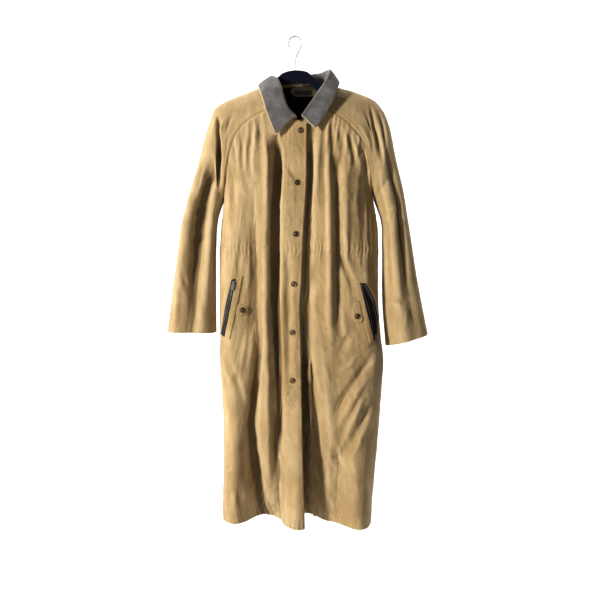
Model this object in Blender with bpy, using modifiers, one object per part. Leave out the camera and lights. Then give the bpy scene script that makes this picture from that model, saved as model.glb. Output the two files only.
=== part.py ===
"""Long canvas coat with raglan sleeves and a corduroy collar, hanging closed on a clothes hanger.

Sizes are in millimetres and are turned into metres when a mesh is made. X runs across the coat as it is
seen from the front, -Y is the front, +Z is up. The origin is the inside top of the hanger's hook.
"""

import math

import bmesh
import bpy
import numpy as np
from mathutils import Matrix, Vector

MM = 0.001

# Cloth
CANVAS = 1.9
GATHER = 2.6
SEAM_GAP = 0.3
UNDERARM_MITRE = 1.4
TRIM_LIFT = 0.3
TRIM = 1.5

# Heights of the body, from the underarm to the hem
UNDERARM = -428.0
WAIST_TOP = -541.0
WAIST_LOW = -577.0
HEM = -1317.0

# Share of a front's width that is raglan seam, and share that curls round to the side seam
SEAM_SHARE = 0.70
CURL_SHARE = 0.17
CURL = 44.0

# Front closing
PLACKET_WIDTH = 54.0
UNDERLAP = 60.0
UNDERLAP_DROP = 9.0
SNAP = 15.0
SNAP_HEIGHT = 3.2

WAIST_GATHERS_FRONT = 17
WAIST_GATHERS_BACK = 30
RAGLAN_GATHERS = {"right": 7, "left": 10}

# height, right side seam, left side seam, depth of the side seam, depth of the front, depth of the back
BODY = np.array([
    (-150, -172, 190, 6, -44, 48),
    (-300, -184, 204, 9, -49, 54),
    (-428, -192, 213, 12, -52, 57),
    (-500, -201, 224, 14, -51, 58),
    (-560, -206, 227, 15, -50, 59),
    (-700, -207, 228, 15, -50, 61),
    (-800, -207, 236, 15, -50, 62),
    (-850, -208, 243, 15, -49, 62),
    (-953, -204, 239, 15, -47, 64),
    (-1036, -200, 234, 14, -45, 66),
    (-1113, -200, 228, 13, -43, 68),
    (-1234, -203, 218, 12, -38, 70),
    (-1330, -205, 213, 10, -35, 72),
], float)

# height, edge of the overlapping front
OVERLAP = np.array([
    (-225, 31), (-301, 31), (-383, 30), (-519, 22), (-648, 17), (-720, 13),
    (-781, 15), (-908, 17), (-1018, 19), (-1163, 22), (-1330, 27),
], float)

# Raglan seams and sleeve edges: place along the sleeve (0 neck, 1 underarm, 2 cuff), x, y, z
SEAM_FRONT = {
    "right": [
        (0.00, -50, -43, -180), (0.12, -83, -45, -199), (0.22, -112, -46, -215), (0.33, -139, -46, -236),
        (0.45, -161, -45, -270), (0.56, -172, -43, -304), (0.69, -180, -39, -344), (0.84, -186, -26, -388),
        (1.00, -192, 12, -428),
    ],
    "left": [
        (0.00, 62, -44, -176), (0.15, 104, -46, -202), (0.25, 128, -47, -218), (0.34, 147, -47, -236),
        (0.44, 168, -46, -260), (0.55, 185, -44, -291), (0.67, 194, -40, -330), (0.84, 204, -26, -384),
        (1.00, 213, 12, -428),
    ],
}
SEAM_BACK = {
    "right": [
        (0.00, -45, 44, -121), (0.25, -87, 50, -172), (0.50, -132, 53, -238), (0.70, -163, 50, -302),
        (0.86, -181, 38, -368), (1.00, -192, 12, -428),
    ],
    "left": [
        (0.00, 70, 44, -116), (0.25, 110, 50, -170), (0.50, 153, 53, -238), (0.70, 183, 50, -302),
        (0.86, 202, 38, -368), (1.00, 213, 12, -428),
    ],
}
SLEEVE_INNER = {
    "right": [
        (1.0, -192, 12, -428), (1.18, -209, 10, -480), (1.4, -215, 8, -560), (1.7, -217, 8, -690),
        (2.0, -217, 8, -788),
    ],
    "left": [
        (1.0, 213, 12, -428), (1.18, 233, 10, -484), (1.4, 237, 8, -560), (1.7, 239, 8, -700),
        (2.0, 249, 8, -824),
    ],
}
SLEEVE_OUTER = {
    "right": [
        (0.00, -76, 0, -124), (0.12, -101, 0, -135), (0.22, -130, 0, -146), (0.33, -162, 0, -158),
        (0.45, -192, 0, -172), (0.55, -215, 0, -188), (0.62, -222, 0, -206), (0.75, -233, 0, -240),
        (0.88, -246, 2, -283), (1.00, -258, 4, -328), (1.18, -279, 5, -405), (1.4, -301, 5, -487),
        (1.7, -327, 5, -640), (2.0, -349, 5, -785),
    ],
    "left": [
        (0.00, 95, 0, -121), (0.15, 118, 0, -132), (0.25, 150, 0, -140), (0.36, 182, 0, -152),
        (0.46, 206, 0, -163), (0.55, 222, 0, -176), (0.62, 235, 0, -194), (0.75, 250, 0, -230),
        (0.88, 262, 2, -280), (1.00, 273, 4, -328), (1.18, 292, 5, -405), (1.4, 307, 5, -490),
        (1.7, 333, 5, -645), (2.0, 364, 5, -793),
    ],
}
# place along the sleeve, belly of the front, belly of the back
SLEEVE_BELLY = [
    (0.0, 5, 5), (0.2, 12, 12), (0.45, 18, 18), (0.7, 24, 24), (0.85, 34, 34), (1.0, 44, 44),
    (1.2, 47, 47), (1.6, 46, 48), (2.0, 42, 46),
]

# Neckline of the fronts: share of the front's width, x, y, z
NECK_FRONT = {
    "right": [
        (0.70, -50, -43, -180), (0.80, -25, -47, -204), (0.90, 4, -51, -221), (1.00, 31, -53, -230),
    ],
    "left": [
        (0.70, 62, -44, -176), (0.79, 40, -45, -200), (0.87, 18, -43, -217), (0.94, -8, -41, -226),
        (1.00, -29, -41, -229),
    ],
}
# Neckline of the back: x, y, z from one raglan seam to the other
NECK_BACK = [
    (0.0, -45, 44, -121), (0.25, -20, 49, -117), (0.5, 13, 51, -115), (0.75, 44, 49, -114),
    (1.0, 70, 44, -116),
]

# Folds of the cloth. Each has a name and rows of x, z, how far it stands out (in if negative), half width
FOLDS = {
    "front_right": {
        "beside the placket": [
            (-52, -262, 0, 8), (-50, -300, -10, 10), (-50, -357, -15, 11), (-63, -483, -14, 12),
            (-61, -693, -14, 12), (-46, -895, -11, 12), (-52, -1100, -15, 16), (-56, -1330, -26, 21),
        ],
        "breast ridge": [
            (-88, -262, 0, 14), (-88, -310, 6, 14), (-86, -560, 7, 15), (-86, -828, 9, 16),
            (-84, -1030, 8, 16), (-80, -1180, 0, 16),
        ],
        "skirt valley": [
            (-108, -470, 0, 12), (-107, -560, -9, 13), (-104, -734, -10, 14), (-97, -814, -8, 14),
            (-122, -1010, -15, 16), (-118, -1100, -26, 22), (-100, -1230, -48, 32),
            (-92, -1330, -66, 38),
        ],
        "pocket ridge": [
            (-150, -820, 0, 18), (-165, -900, 6, 20), (-168, -1100, 8, 20), (-165, -1330, 6, 22),
        ],
        "under the pocket": [
            (-172, -862, 0, 8), (-168, -882, -6, 8), (-158, -912, -5, 9), (-146, -950, 0, 9),
        ],
        "side valley": [(-176, -450, 0, 12), (-178, -560, -5, 12), (-180, -640, 0, 12)],
        "placket forward": [
            (6, -800, 0, 36), (8, -950, 6, 36), (8, -1100, 16, 36), (8, -1330, 42, 38),
        ],
    },
    "front_left": {
        "beside the placket": [
            (44, -262, 0, 9), (46, -330, -6, 10), (42, -500, -8, 12), (40, -690, -8, 13),
            (40, -830, 0, 14),
        ],
        "recess": [
            (14, -700, 0, 28), (14, -830, -7, 32), (14, -950, -20, 40), (12, -1100, -41, 52),
            (8, -1330, -64, 64),
        ],
        "breast ridge": [
            (74, -250, 0, 12), (62, -320, 6, 13), (56, -400, 5, 13), (60, -500, 0, 13),
        ],
        "second ridge": [
            (87, -262, 0, 12), (90, -400, 8, 14), (92, -560, 6, 14), (96, -760, 5, 16),
            (100, -900, 0, 18),
        ],
        "middle valley": [
            (110, -300, 0, 11), (110, -400, -8, 12), (114, -560, -7, 12), (118, -700, -6, 14),
            (120, -800, 0, 14),
        ],
        "third ridge": [
            (135, -280, 0, 12), (133, -380, 8, 14), (136, -520, 6, 14), (140, -600, 0, 14),
        ],
        "side valley": [
            (176, -330, 0, 12), (182, -420, -10, 14), (186, -560, -9, 14), (190, -640, 0, 14),
        ],
        "front crest": [
            (150, -760, 0, 30), (160, -900, 7, 32), (165, -1060, 16, 34), (170, -1200, 28, 36),
            (172, -1330, 44, 38),
        ],
        "long slant": [
            (214, -846, 0, 9), (180, -884, -8, 10), (130, -960, -9, 11), (96, -1024, 0, 11),
        ],
        "low slant": [
            (220, -962, 0, 10), (190, -1006, -9, 11), (160, -1064, -8, 12), (130, -1126, 0, 12),
        ],
        "under the pocket": [(222, -812, 0, 7), (206, -822, -5, 7), (190, -836, 0, 7)],
        "hem slant": [(128, -1040, 0, 12), (112, -1150, -8, 16), (104, -1330, -8, 20)],
    },
    "back": {
        "right valley": [
            (-118, -300, 0, 14), (-120, -420, -8, 16), (-118, -560, -8, 16), (-116, -800, -12, 20),
            (-112, -1100, -22, 24), (-108, -1330, -34, 28),
        ],
        "right ridge": [
            (-152, -560, 0, 20), (-156, -800, 8, 22), (-158, -1100, 14, 24), (-158, -1330, 22, 26),
        ],
        "inner right ridge": [
            (-62, -260, 0, 16), (-62, -420, 7, 18), (-62, -800, 9, 20), (-60, -1100, 14, 24),
            (-58, -1330, 20, 26),
        ],
        "middle valley": [
            (6, -300, 0, 14), (4, -480, -9, 16), (2, -800, -13, 20), (4, -1050, -12, 24),
            (6, -1330, -6, 28),
        ],
        "inner left ridge": [
            (70, -260, 0, 16), (70, -420, 7, 18), (70, -800, 10, 20), (72, -1100, 15, 24),
            (74, -1330, 22, 26),
        ],
        "left valley": [
            (128, -300, 0, 14), (130, -420, -8, 16), (128, -560, -8, 16), (130, -800, -12, 20),
            (124, -1100, -20, 24), (120, -1330, -32, 28),
        ],
        "left ridge": [
            (172, -560, 0, 20), (178, -800, 8, 22), (176, -1100, 12, 24), (170, -1330, 20, 26),
        ],
    },
}
# Folds of the sleeves: place along, place round (0 inner, 1 outer edge, 2 inner again), out, half width
SLEEVE_FOLDS = {
    "right": {
        "drop from the hanger": [
            (0.52, 0.86, 0, 8), (0.60, 0.62, -11, 9), (0.72, 0.36, -13, 10), (0.86, 0.20, -8, 10),
            (1.0, 0.16, 0, 12),
        ],
        "short fold": [(0.38, 0.50, 0, 7), (0.45, 0.42, -6, 7), (0.53, 0.30, 0, 7)],
        "sleeve front": [
            (0.80, 0.52, 0, 16), (1.10, 0.47, -13, 17), (1.50, 0.46, -17, 18), (1.85, 0.48, -13, 19),
            (2.05, 0.50, -9, 20),
        ],
        "outer ridge": [
            (0.85, 0.80, 0, 14), (1.20, 0.82, 5, 14), (1.70, 0.84, 5, 14), (2.05, 0.86, 3, 14),
        ],
        "elbow": [(1.36, 0.30, 0, 8), (1.42, 0.50, -5, 8), (1.46, 0.70, 0, 8)],
        "sleeve back": [
            (0.70, 1.40, 0, 16), (1.10, 1.46, -10, 17), (1.60, 1.48, -14, 18), (2.05, 1.50, -8, 20),
        ],
        "back drop": [(0.50, 1.20, 0, 8), (0.64, 1.50, -9, 9), (0.80, 1.70, 0, 9)],
    },
    "left": {
        "drop from the hanger": [
            (0.44, 0.82, 0, 8), (0.56, 0.56, -10, 9), (0.70, 0.48, -10, 9), (0.88, 0.52, 0, 9),
        ],
        "outer fold": [(0.56, 0.84, 0, 7), (0.70, 0.76, -6, 7), (0.82, 0.72, 0, 7)],
        "sleeve ridge": [
            (0.80, 0.50, 0, 14), (1.20, 0.44, 6, 15), (1.60, 0.42, 6, 16), (2.05, 0.44, 4, 16),
        ],
        "outer valley": [
            (1.00, 0.72, 0, 12), (1.40, 0.70, -6, 13), (1.80, 0.70, -5, 14), (2.05, 0.70, -2, 14),
        ],
        "elbow": [(1.56, 0.04, 0, 7), (1.60, 0.20, -5, 7), (1.64, 0.36, 0, 7)],
        "sleeve back": [
            (0.70, 1.40, 0, 16), (1.10, 1.46, -10, 17), (1.60, 1.48, -14, 18), (2.05, 1.50, -8, 20),
        ],
        "back drop": [(0.50, 1.20, 0, 8), (0.64, 1.50, -9, 9), (0.80, 1.70, 0, 9)],
    },
}


def unit(v):
    return v / max(np.linalg.norm(v), 1e-9)


def smooth(rows, at):
    """Columns 1.. of the rows at places given in column 0, on a smooth curve through them."""
    table = np.asarray(rows, float)
    knots = table[:, 0]
    values = table[:, 1:]
    if knots[0] > knots[-1]:
        knots = knots[::-1]
        values = values[::-1]
    at = np.asarray(at, float)
    slope = np.gradient(values, knots, axis=0)
    i = np.clip(np.searchsorted(knots, at) - 1, 0, len(knots) - 2)
    span = knots[i + 1] - knots[i]
    t = np.clip((at - knots[i]) / span, 0, 1)[..., None]
    span = span[..., None]
    a = values[i] * (1 + 2 * t) * (1 - t) ** 2 + values[i + 1] * t * t * (3 - 2 * t)
    b = slope[i] * t * (1 - t) ** 2 - slope[i + 1] * t * t * (1 - t)
    return a + b * span


def ease(t):
    """From 0 to 1 without a kink."""
    t = np.clip(t, 0, 1)
    return t * t * (3 - 2 * t)


def fold_height(folds, x, z):
    """How far the folds together lift the cloth at places x, z."""
    lift = np.zeros(np.shape(x))
    for rows in folds.values():
        table = np.asarray(rows, float)
        nearest = np.full(np.shape(x), np.inf)
        depth = np.zeros(np.shape(x))
        width = np.ones(np.shape(x))
        for a, b in zip(table[:-1], table[1:]):
            run = b[:2] - a[:2]
            t = ((x - a[0]) * run[0] + (z - a[1]) * run[1]) / (run @ run)
            t = np.clip(t, 0, 1)
            away = np.hypot(x - a[0] - t * run[0], z - a[1] - t * run[1])
            closer = away < nearest
            nearest = np.where(closer, away, nearest)
            depth = np.where(closer, a[2] + (b[2] - a[2]) * t, depth)
            width = np.where(closer, a[3] + (b[3] - a[3]) * t, width)
        lift += depth * np.exp(-(nearest / width) ** 2)
    return lift


def slopes(place, u, r):
    """The two directions of a surface at its places."""
    e = 1e-3
    du = place(np.clip(u + e, 0, 1), r) - place(np.clip(u - e, 0, 1), r)
    dr = place(u, r + e) - place(u, r - e)
    return du, dr


def facing(place, sign, u, r):
    """The outward direction of a surface at its places."""
    du, dr = slopes(place, u, r)
    n = np.cross(du, dr) * sign
    return n / np.maximum(np.linalg.norm(n, axis=-1, keepdims=True), 1e-12)


def turned_out(place, towards):
    """1 or -1: which turn makes a surface face away from the inside of its piece."""
    u, r = np.meshgrid(np.linspace(0.2, 0.8, 9), np.linspace(0.3, 1.9, 9))
    return 1 if (facing(place, 1, u, r) * towards(place(u, r))).sum() > 0 else -1


def to_front(p):
    return np.broadcast_to((0.0, -1.0, 0.0), p.shape)


def to_back(p):
    return np.broadcast_to((0.0, 1.0, 0.0), p.shape)


def from_sleeve_axis(p):
    return p - p.mean(axis=1, keepdims=True)


def body_at(z):
    """Side seams, seam depth, front depth and back depth at a height."""
    return np.moveaxis(smooth(BODY, z), -1, 0)


def overlap_edge(z):
    return smooth(OVERLAP, z)[..., 0]


def front_section(side, u, z):
    """One front's level section: from the side seam (0) round the curl and across to its edge (1)."""
    right_x, left_x, seam_y, front_y, _ = body_at(z)
    edge = overlap_edge(z)
    if side == "right":
        seam_x = right_x
        end_x = edge
        curl = CURL
    else:
        seam_x = left_x
        end_x = edge - UNDERLAP
        curl = -CURL
    turn = np.clip(u / CURL_SHARE, 0, 1) * math.pi / 2
    across = np.clip((u - CURL_SHARE) / (1 - CURL_SHARE), 0, 1)
    x = seam_x + curl * (1 - np.cos(turn)) + (end_x - seam_x - curl) * across
    y = seam_y + (front_y - seam_y) * np.sin(turn)
    if side == "left":
        y = y + UNDERLAP_DROP * ease((edge + 16 - x) / (14 + 40 * ease((-900 - z) / 300)))
    else:
        y = y - 4.0 * ease((x - edge + PLACKET_WIDTH + 24) / 24)
    return x, y


def front_top(side, u):
    """The upper edge of a front: up the raglan seam, then along the neckline."""
    seam = smooth(SEAM_FRONT[side], np.clip(1 - u / SEAM_SHARE, 0, 1))
    neck = smooth(NECK_FRONT[side], u)
    return np.where((u < SEAM_SHARE)[..., None], seam, neck)


def front_height(top_z, r):
    upper = top_z + (WAIST_TOP - top_z) * np.clip(r, 0, 1)
    return upper + (HEM - WAIST_TOP) * np.clip(r - 1, 0, 1)


def front_base(side):
    """A front without its folds: u from side seam to front edge, r from top by waist (1) to hem (2)."""
    def place(u, r):
        u, r = np.broadcast_arrays(np.asarray(u, float), np.asarray(r, float))
        top = front_top(side, u)
        z = front_height(top[..., 2], r)
        x, y = front_section(side, u, z)
        x_top, y_top = front_section(side, u, top[..., 2])
        fade = np.clip(1 - r, 0, 1) ** 1.5
        return np.stack([x + (top[..., 0] - x_top) * fade, y + (top[..., 1] - y_top) * fade, z], axis=-1)
    return place


def front_surface(side):
    base = front_base(side)
    sign = turned_out(base, to_front)
    name = "front_" + side

    def place(u, r):
        u, r = np.broadcast_arrays(np.asarray(u, float), np.asarray(r, float))
        p = base(u, r)
        lift = fold_height(FOLDS[name], p[..., 0], p[..., 2])
        lift = lift * ease(r / 0.25) * ease(u / CURL_SHARE)
        return p + facing(base, sign, u, r) * lift[..., None]
    return place, sign


def back_top(u):
    """The upper edge of the back: up one raglan seam, along the neckline and down the other seam."""
    right = smooth(SEAM_BACK["right"], np.clip(1 - u / 0.37, 0, 1))
    left = smooth(SEAM_BACK["left"], np.clip(1 - (1 - u) / 0.37, 0, 1))
    neck = smooth(NECK_BACK, np.clip((u - 0.37) / 0.26, 0, 1))
    out = np.where((u < 0.37)[..., None], right, neck)
    return np.where((u > 0.63)[..., None], left, out)


def back_section(u, z):
    right_x, left_x, seam_y, _, back_y = body_at(z)
    share = 0.10
    turn_right = np.clip(u / share, 0, 1) * math.pi / 2
    turn_left = np.clip((1 - u) / share, 0, 1) * math.pi / 2
    across = np.clip((u - share) / (1 - 2 * share), 0, 1)
    inner_right = right_x + CURL
    inner_left = left_x - CURL
    middle = inner_right + (inner_left - inner_right) * across
    x = np.where(u < share, right_x + CURL * (1 - np.cos(turn_right)), middle)
    x = np.where(u > 1 - share, left_x - CURL * (1 - np.cos(turn_left)), x)
    y = seam_y + (back_y - seam_y) * np.sin(turn_right) * np.sin(turn_left)
    return x, y


def back_base(u, r):
    """The back without its folds. u runs from the right side seam to the left one."""
    u, r = np.broadcast_arrays(np.asarray(u, float), np.asarray(r, float))
    top = back_top(u)
    z = front_height(top[..., 2], r)
    x, y = back_section(u, z)
    x_top, y_top = back_section(u, top[..., 2])
    fade = np.clip(1 - r, 0, 1) ** 1.5
    return np.stack([x + (top[..., 0] - x_top) * fade, y + (top[..., 1] - y_top) * fade, z], axis=-1)


def back_surface():
    sign = turned_out(back_base, to_back)

    def place(u, r):
        u, r = np.broadcast_arrays(np.asarray(u, float), np.asarray(r, float))
        p = back_base(u, r)
        lift = fold_height(FOLDS["back"], p[..., 0], p[..., 2])
        lift = lift * ease(r / 0.25) * ease(u / 0.1) * ease((1 - u) / 0.1)
        return p + facing(back_base, sign, u, r) * lift[..., None]
    return place, sign


def section_share(turn, r):
    """Share of the way across a sleeve's section, which is open along its seams above the underarm."""
    is_open = 1 - ease((r - 0.75) / 0.25)
    return (1 - np.cos(turn)) / 2 * (1 - is_open) + np.sin(turn / 2) * is_open


def sleeve_base(side):
    """A sleeve without its folds: u from the front edge over the outer edge (0.5) to the back edge."""
    def place(u, r):
        u, r = np.broadcast_arrays(np.asarray(u, float), np.asarray(r, float))
        inner = smooth(SLEEVE_INNER[side], r)
        above = (r < 1)[..., None]
        front = np.where(above, smooth(SEAM_FRONT[side], r), inner)
        back = np.where(above, smooth(SEAM_BACK[side], r), inner)
        outer = smooth(SLEEVE_OUTER[side], r)
        belly = smooth(SLEEVE_BELLY, r)
        on_front = (u <= 0.5)[..., None]
        start = np.where(on_front, front, back)
        turn = np.where(u <= 0.5, u, 1 - u) * 2 * math.pi
        share = section_share(turn, r)[..., None]
        p = start + (outer - start) * share
        swell = np.maximum(np.sin(turn), 0) ** 0.85
        p[..., 1] += np.where(u <= 0.5, -belly[..., 0], belly[..., 1]) * swell
        return p
    return place


def sleeve_surface(side):
    base = sleeve_base(side)
    sign = turned_out(base, from_sleeve_axis)

    def place(u, r):
        u, r = np.broadcast_arrays(np.asarray(u, float), np.asarray(r, float))
        p = base(u, r)
        scale = 110.0
        folds = {}
        for name, rows in SLEEVE_FOLDS[side].items():
            folds[name] = [
                (place_round * scale, along * 380, out, half) for along, place_round, out, half in rows
            ]
        turn = np.where(u <= 0.5, u, 1 - u) * 2 * math.pi
        share = section_share(turn, r)
        round_place = np.where(u <= 0.5, share, 2 - share)
        lift = fold_height(folds, round_place * scale, r * 380)
        edge = np.minimum(u, 1 - u)
        lift = lift * ease(edge / 0.10) * ease(r / 0.2)
        return p + facing(base, sign, u, r) * lift[..., None]
    return place, sign


class Mesh:
    """Points and faces of one piece, in millimetres."""

    def __init__(self):
        self.points = []
        self.faces = []

    def add(self, points):
        first = len(self.points)
        self.points.extend(np.asarray(points, float).reshape(-1, 3))
        return list(range(first, len(self.points)))

    def zip(self, a, at_a, b, at_b):
        """Triangles between two rows of points that run the same way."""
        i = 0
        j = 0
        while i < len(a) - 1 or j < len(b) - 1:
            step_a = i < len(a) - 1
            if step_a and j < len(b) - 1:
                step_a = at_a[i + 1] + at_a[i] <= at_b[j + 1] + at_b[j]
            if step_a:
                self.faces.append((a[i], a[i + 1], b[j]))
                i += 1
            else:
                self.faces.append((a[i], b[j + 1], b[j]))
                j += 1


SEAMS = {}


def key(point):
    return tuple(np.round(np.asarray(point, float), 1) + 0.0)


UNDERARMS = {key(SEAM_FRONT[side][-1][1:]) for side in ("right", "left")}


def grid_facing(points, sign, closed_from=None):
    """The outward direction at each point of a grid, from its neighbours."""
    along = np.gradient(points, axis=0)
    across = np.gradient(points, axis=1)
    if closed_from is not None:
        step = points[closed_from:, 1] - points[closed_from:, -2]
        across[closed_from:, 0] = step
        across[closed_from:, -1] = step
    n = np.cross(across, along) * sign
    return n / np.maximum(np.linalg.norm(n, axis=2, keepdims=True), 1e-12)


class Panel:
    """One cut piece of cloth: a grid of rows and columns, with finer rows outside where it is gathered."""

    def __init__(self, name, surface, rows, columns, fine, sewn, rise=None, tube_from=None):
        self.name = name
        self.place, self.sign = surface
        self.rows = list(rows)
        self.columns = list(columns)
        self.fine = fine
        self.sewn = sewn
        self.rise = rise
        self.tube_row = self.rows.index(tube_from) if tube_from else None
        u, r = np.meshgrid(self.columns, self.rows)
        self.points = self.place(u, r)
        closed = self.tube_row + 1 if tube_from else None
        self.n = grid_facing(self.points, self.sign, closed)
        for i, j, _ in self.edge_points():
            SEAMS.setdefault(key(self.points[i, j]), []).append(self.n[i, j])

    def edge_points(self):
        """Row and column of each point on a sewn edge, with the edges that it is on."""
        last_row = self.tube_row if self.tube_row is not None else len(self.rows) - 1
        last = len(self.columns) - 1
        found = {}
        if "top" in self.sewn:
            for j in range(last + 1):
                found.setdefault((0, j), []).append("top")
        for i in range(last_row + 1):
            if "start" in self.sewn:
                found.setdefault((i, 0), []).append("start")
            if "end" in self.sewn:
                found.setdefault((i, last), []).append("end")
        return [(i, j, edges) for (i, j), edges in sorted(found.items())]

    def sew(self):
        """Shares the facing along the seams and moves the edges apart by the seam gap."""
        p = self.points.copy()
        n = self.n.copy()
        along = np.gradient(self.points, axis=0)
        across = np.gradient(self.points, axis=1)
        for i, j, edges in self.edge_points():
            place = self.points[i, j]
            if key(place) in UNDERARMS:
                away = np.sign(place[0]) * (1 if self.tube_row is not None else -1)
                depth = {"back": 0.8, "front": -0.8}.get(self.name.split("_")[0], 0)
                n[i, j] = (0, 0, -UNDERARM_MITRE)
                p[i, j] = place + np.array([away * 0.9, depth, 0])
                continue
            n[i, j] = unit(sum(SEAMS[key(place)]))
            gap = SEAM_GAP / 2
            if place[2] > UNDERARM:
                gap = gap * (1 + 3.0 * float(ease((-370 - place[2]) / 50)))
            for edge in edges:
                line = across[i, j] if edge == "top" else along[i, j]
                inward = {"top": along[i, j], "start": across[i, j], "end": -across[i, j]}[edge]
                side = unit(np.cross(line, n[i, j]))
                p[i, j] = p[i, j] + side * np.sign(side @ inward) * gap
        self.points = p
        self.n = n

    def between(self, us, r):
        """Points and directions on the faces between the grid's rows and columns."""
        i = int(np.clip(np.searchsorted(self.rows, r) - 1, 0, len(self.rows) - 2))
        t = (r - self.rows[i]) / (self.rows[i + 1] - self.rows[i])
        p = self.points[i] * (1 - t) + self.points[i + 1] * t
        n = self.n[i] * (1 - t) + self.n[i + 1] * t
        out = []
        for values in (p, n):
            out.append(np.stack([np.interp(us, self.columns, values[:, k]) for k in range(3)], axis=1))
        out[1] /= np.linalg.norm(out[1], axis=1, keepdims=True)
        return out

    def build(self, thickness):
        mesh = Mesh()
        plain = [(r, self.columns) for r in self.rows if r not in dict(self.fine)]
        places = sorted(plain + self.fine, key=lambda row: row[0])
        self.outside = places
        outer = []
        for r, us in places:
            p, n = self.between(np.asarray(us, float), r)
            if self.rise is not None:
                p = p + n * self.rise(np.asarray(us, float), np.full(len(us), float(r)))[:, None]
            outer.append(mesh.add(p))
        inner = [mesh.add(p - n * thickness) for p, n in zip(self.points, self.n)]
        for k in range(len(outer) - 1):
            mesh.zip(outer[k], places[k][1], outer[k + 1], places[k + 1][1])
        self.outer_faces = len(mesh.faces)
        for a, b in zip(inner[:-1], inner[1:]):
            mesh.zip(a, self.columns, b, self.columns)
        self.inner_faces = len(mesh.faces) - self.outer_faces
        mesh.zip(outer[0], places[0][1], inner[0], self.columns)
        mesh.zip(outer[-1], places[-1][1], inner[-1], self.columns)
        last = self.rows[self.tube_row] if self.tube_row is not None else self.rows[-1]
        rows_out = [k for k, (r, _) in enumerate(places) if r <= last + 1e-6]
        rows_in = [k for k, r in enumerate(self.rows) if r <= last + 1e-6]
        for end in (0, -1):
            mesh.zip(
                [outer[k][end] for k in rows_out], [places[k][0] for k in rows_out],
                [inner[k][end] for k in rows_in], [self.rows[k] for k in rows_in],
            )
        self.mesh = mesh
        self.outer = outer
        return mesh


def make_object(name, mesh, material, collection, weld=0.002):
    """The mesh as one closed object in metres, with its faces turned outwards."""
    bm = bmesh.new()
    verts = [bm.verts.new(np.asarray(p) * MM) for p in mesh.points]
    for face in mesh.faces:
        corners = []
        for i in face:
            if verts[i] not in corners:
                corners.append(verts[i])
        if len(corners) >= 3:
            bm.faces.new(corners)
    bmesh.ops.remove_doubles(bm, verts=bm.verts, dist=weld * MM)
    bmesh.ops.dissolve_degenerate(bm, edges=bm.edges, dist=1e-7)
    loose = [v for v in bm.verts if not v.link_faces]
    bmesh.ops.delete(bm, geom=loose, context="VERTS")
    bmesh.ops.recalc_face_normals(bm, faces=bm.faces)
    if bm.calc_volume(signed=True) < 0:
        bmesh.ops.reverse_faces(bm, faces=bm.faces)
    data = bpy.data.meshes.new(name)
    bm.to_mesh(data)
    bm.free()
    obj = bpy.data.objects.new(name, data)
    data.materials.append(material)
    collection.objects.link(obj)
    return obj


def outer_bmesh(mesh, faces):
    bm = bmesh.new()
    used = sorted({i for face in faces for i in face})
    verts = {i: bm.verts.new(np.asarray(mesh.points[i])) for i in used}
    for face in faces:
        if len(set(face)) == 3:
            bm.faces.new([verts[i] for i in face])
    bmesh.ops.remove_doubles(bm, verts=bm.verts, dist=0.01)
    return bm


def laid_on(mesh, faces, outline, lift, thickness, rise=None, towards=None):
    """A piece lying on a panel: the panel's faces inside an outline, moved out and given a thickness."""
    bm = outer_bmesh(mesh, faces)
    if outline:
        middle = np.mean(np.asarray(outline, float), axis=0)
        for (ax, az), (bx, bz) in zip(outline, outline[1:] + outline[:1]):
            normal = np.array([bz - az, 0.0, ax - bx])
            if normal @ np.array([middle[0] - ax, 0, middle[1] - az]) > 0:
                normal = -normal
            geom = list(bm.verts) + list(bm.edges) + list(bm.faces)
            bmesh.ops.bisect_plane(
                bm, geom=geom, dist=0.001, plane_co=(ax, 0, az), plane_no=normal, clear_outer=True)
        bmesh.ops.remove_doubles(bm, verts=bm.verts, dist=0.35)
        bmesh.ops.dissolve_degenerate(bm, edges=bm.edges, dist=0.05)
    bmesh.ops.triangulate(bm, faces=bm.faces)
    bmesh.ops.recalc_face_normals(bm, faces=bm.faces)
    bm.verts.index_update()
    points = np.array([v.co for v in bm.verts])
    tris = [tuple(v.index for v in f.verts) for f in bm.faces]
    edges = [tuple(v.index for v in e.verts) for e in bm.edges if len(e.link_faces) == 1]
    bm.free()
    n = np.zeros_like(points)
    for a, b, c in tris:
        face = np.cross(points[b] - points[a], points[c] - points[a])
        n[[a, b, c]] += face
    n /= np.maximum(np.linalg.norm(n, axis=1, keepdims=True), 1e-9)
    if n.mean(axis=0) @ np.asarray(towards) < 0:
        n = -n
    out = Mesh()
    low = out.add(points + n * lift)
    extra = np.zeros(len(points)) if rise is None else rise(points)
    high = out.add(points + n * (lift + thickness + extra)[:, None])
    for a, b, c in tris:
        out.faces.append((high[a], high[b], high[c]))
        out.faces.append((low[a], low[c], low[b]))
    for a, b in edges:
        out.faces.append((low[a], low[b], high[b]))
        out.faces.append((low[a], high[b], high[a]))
    return out


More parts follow.
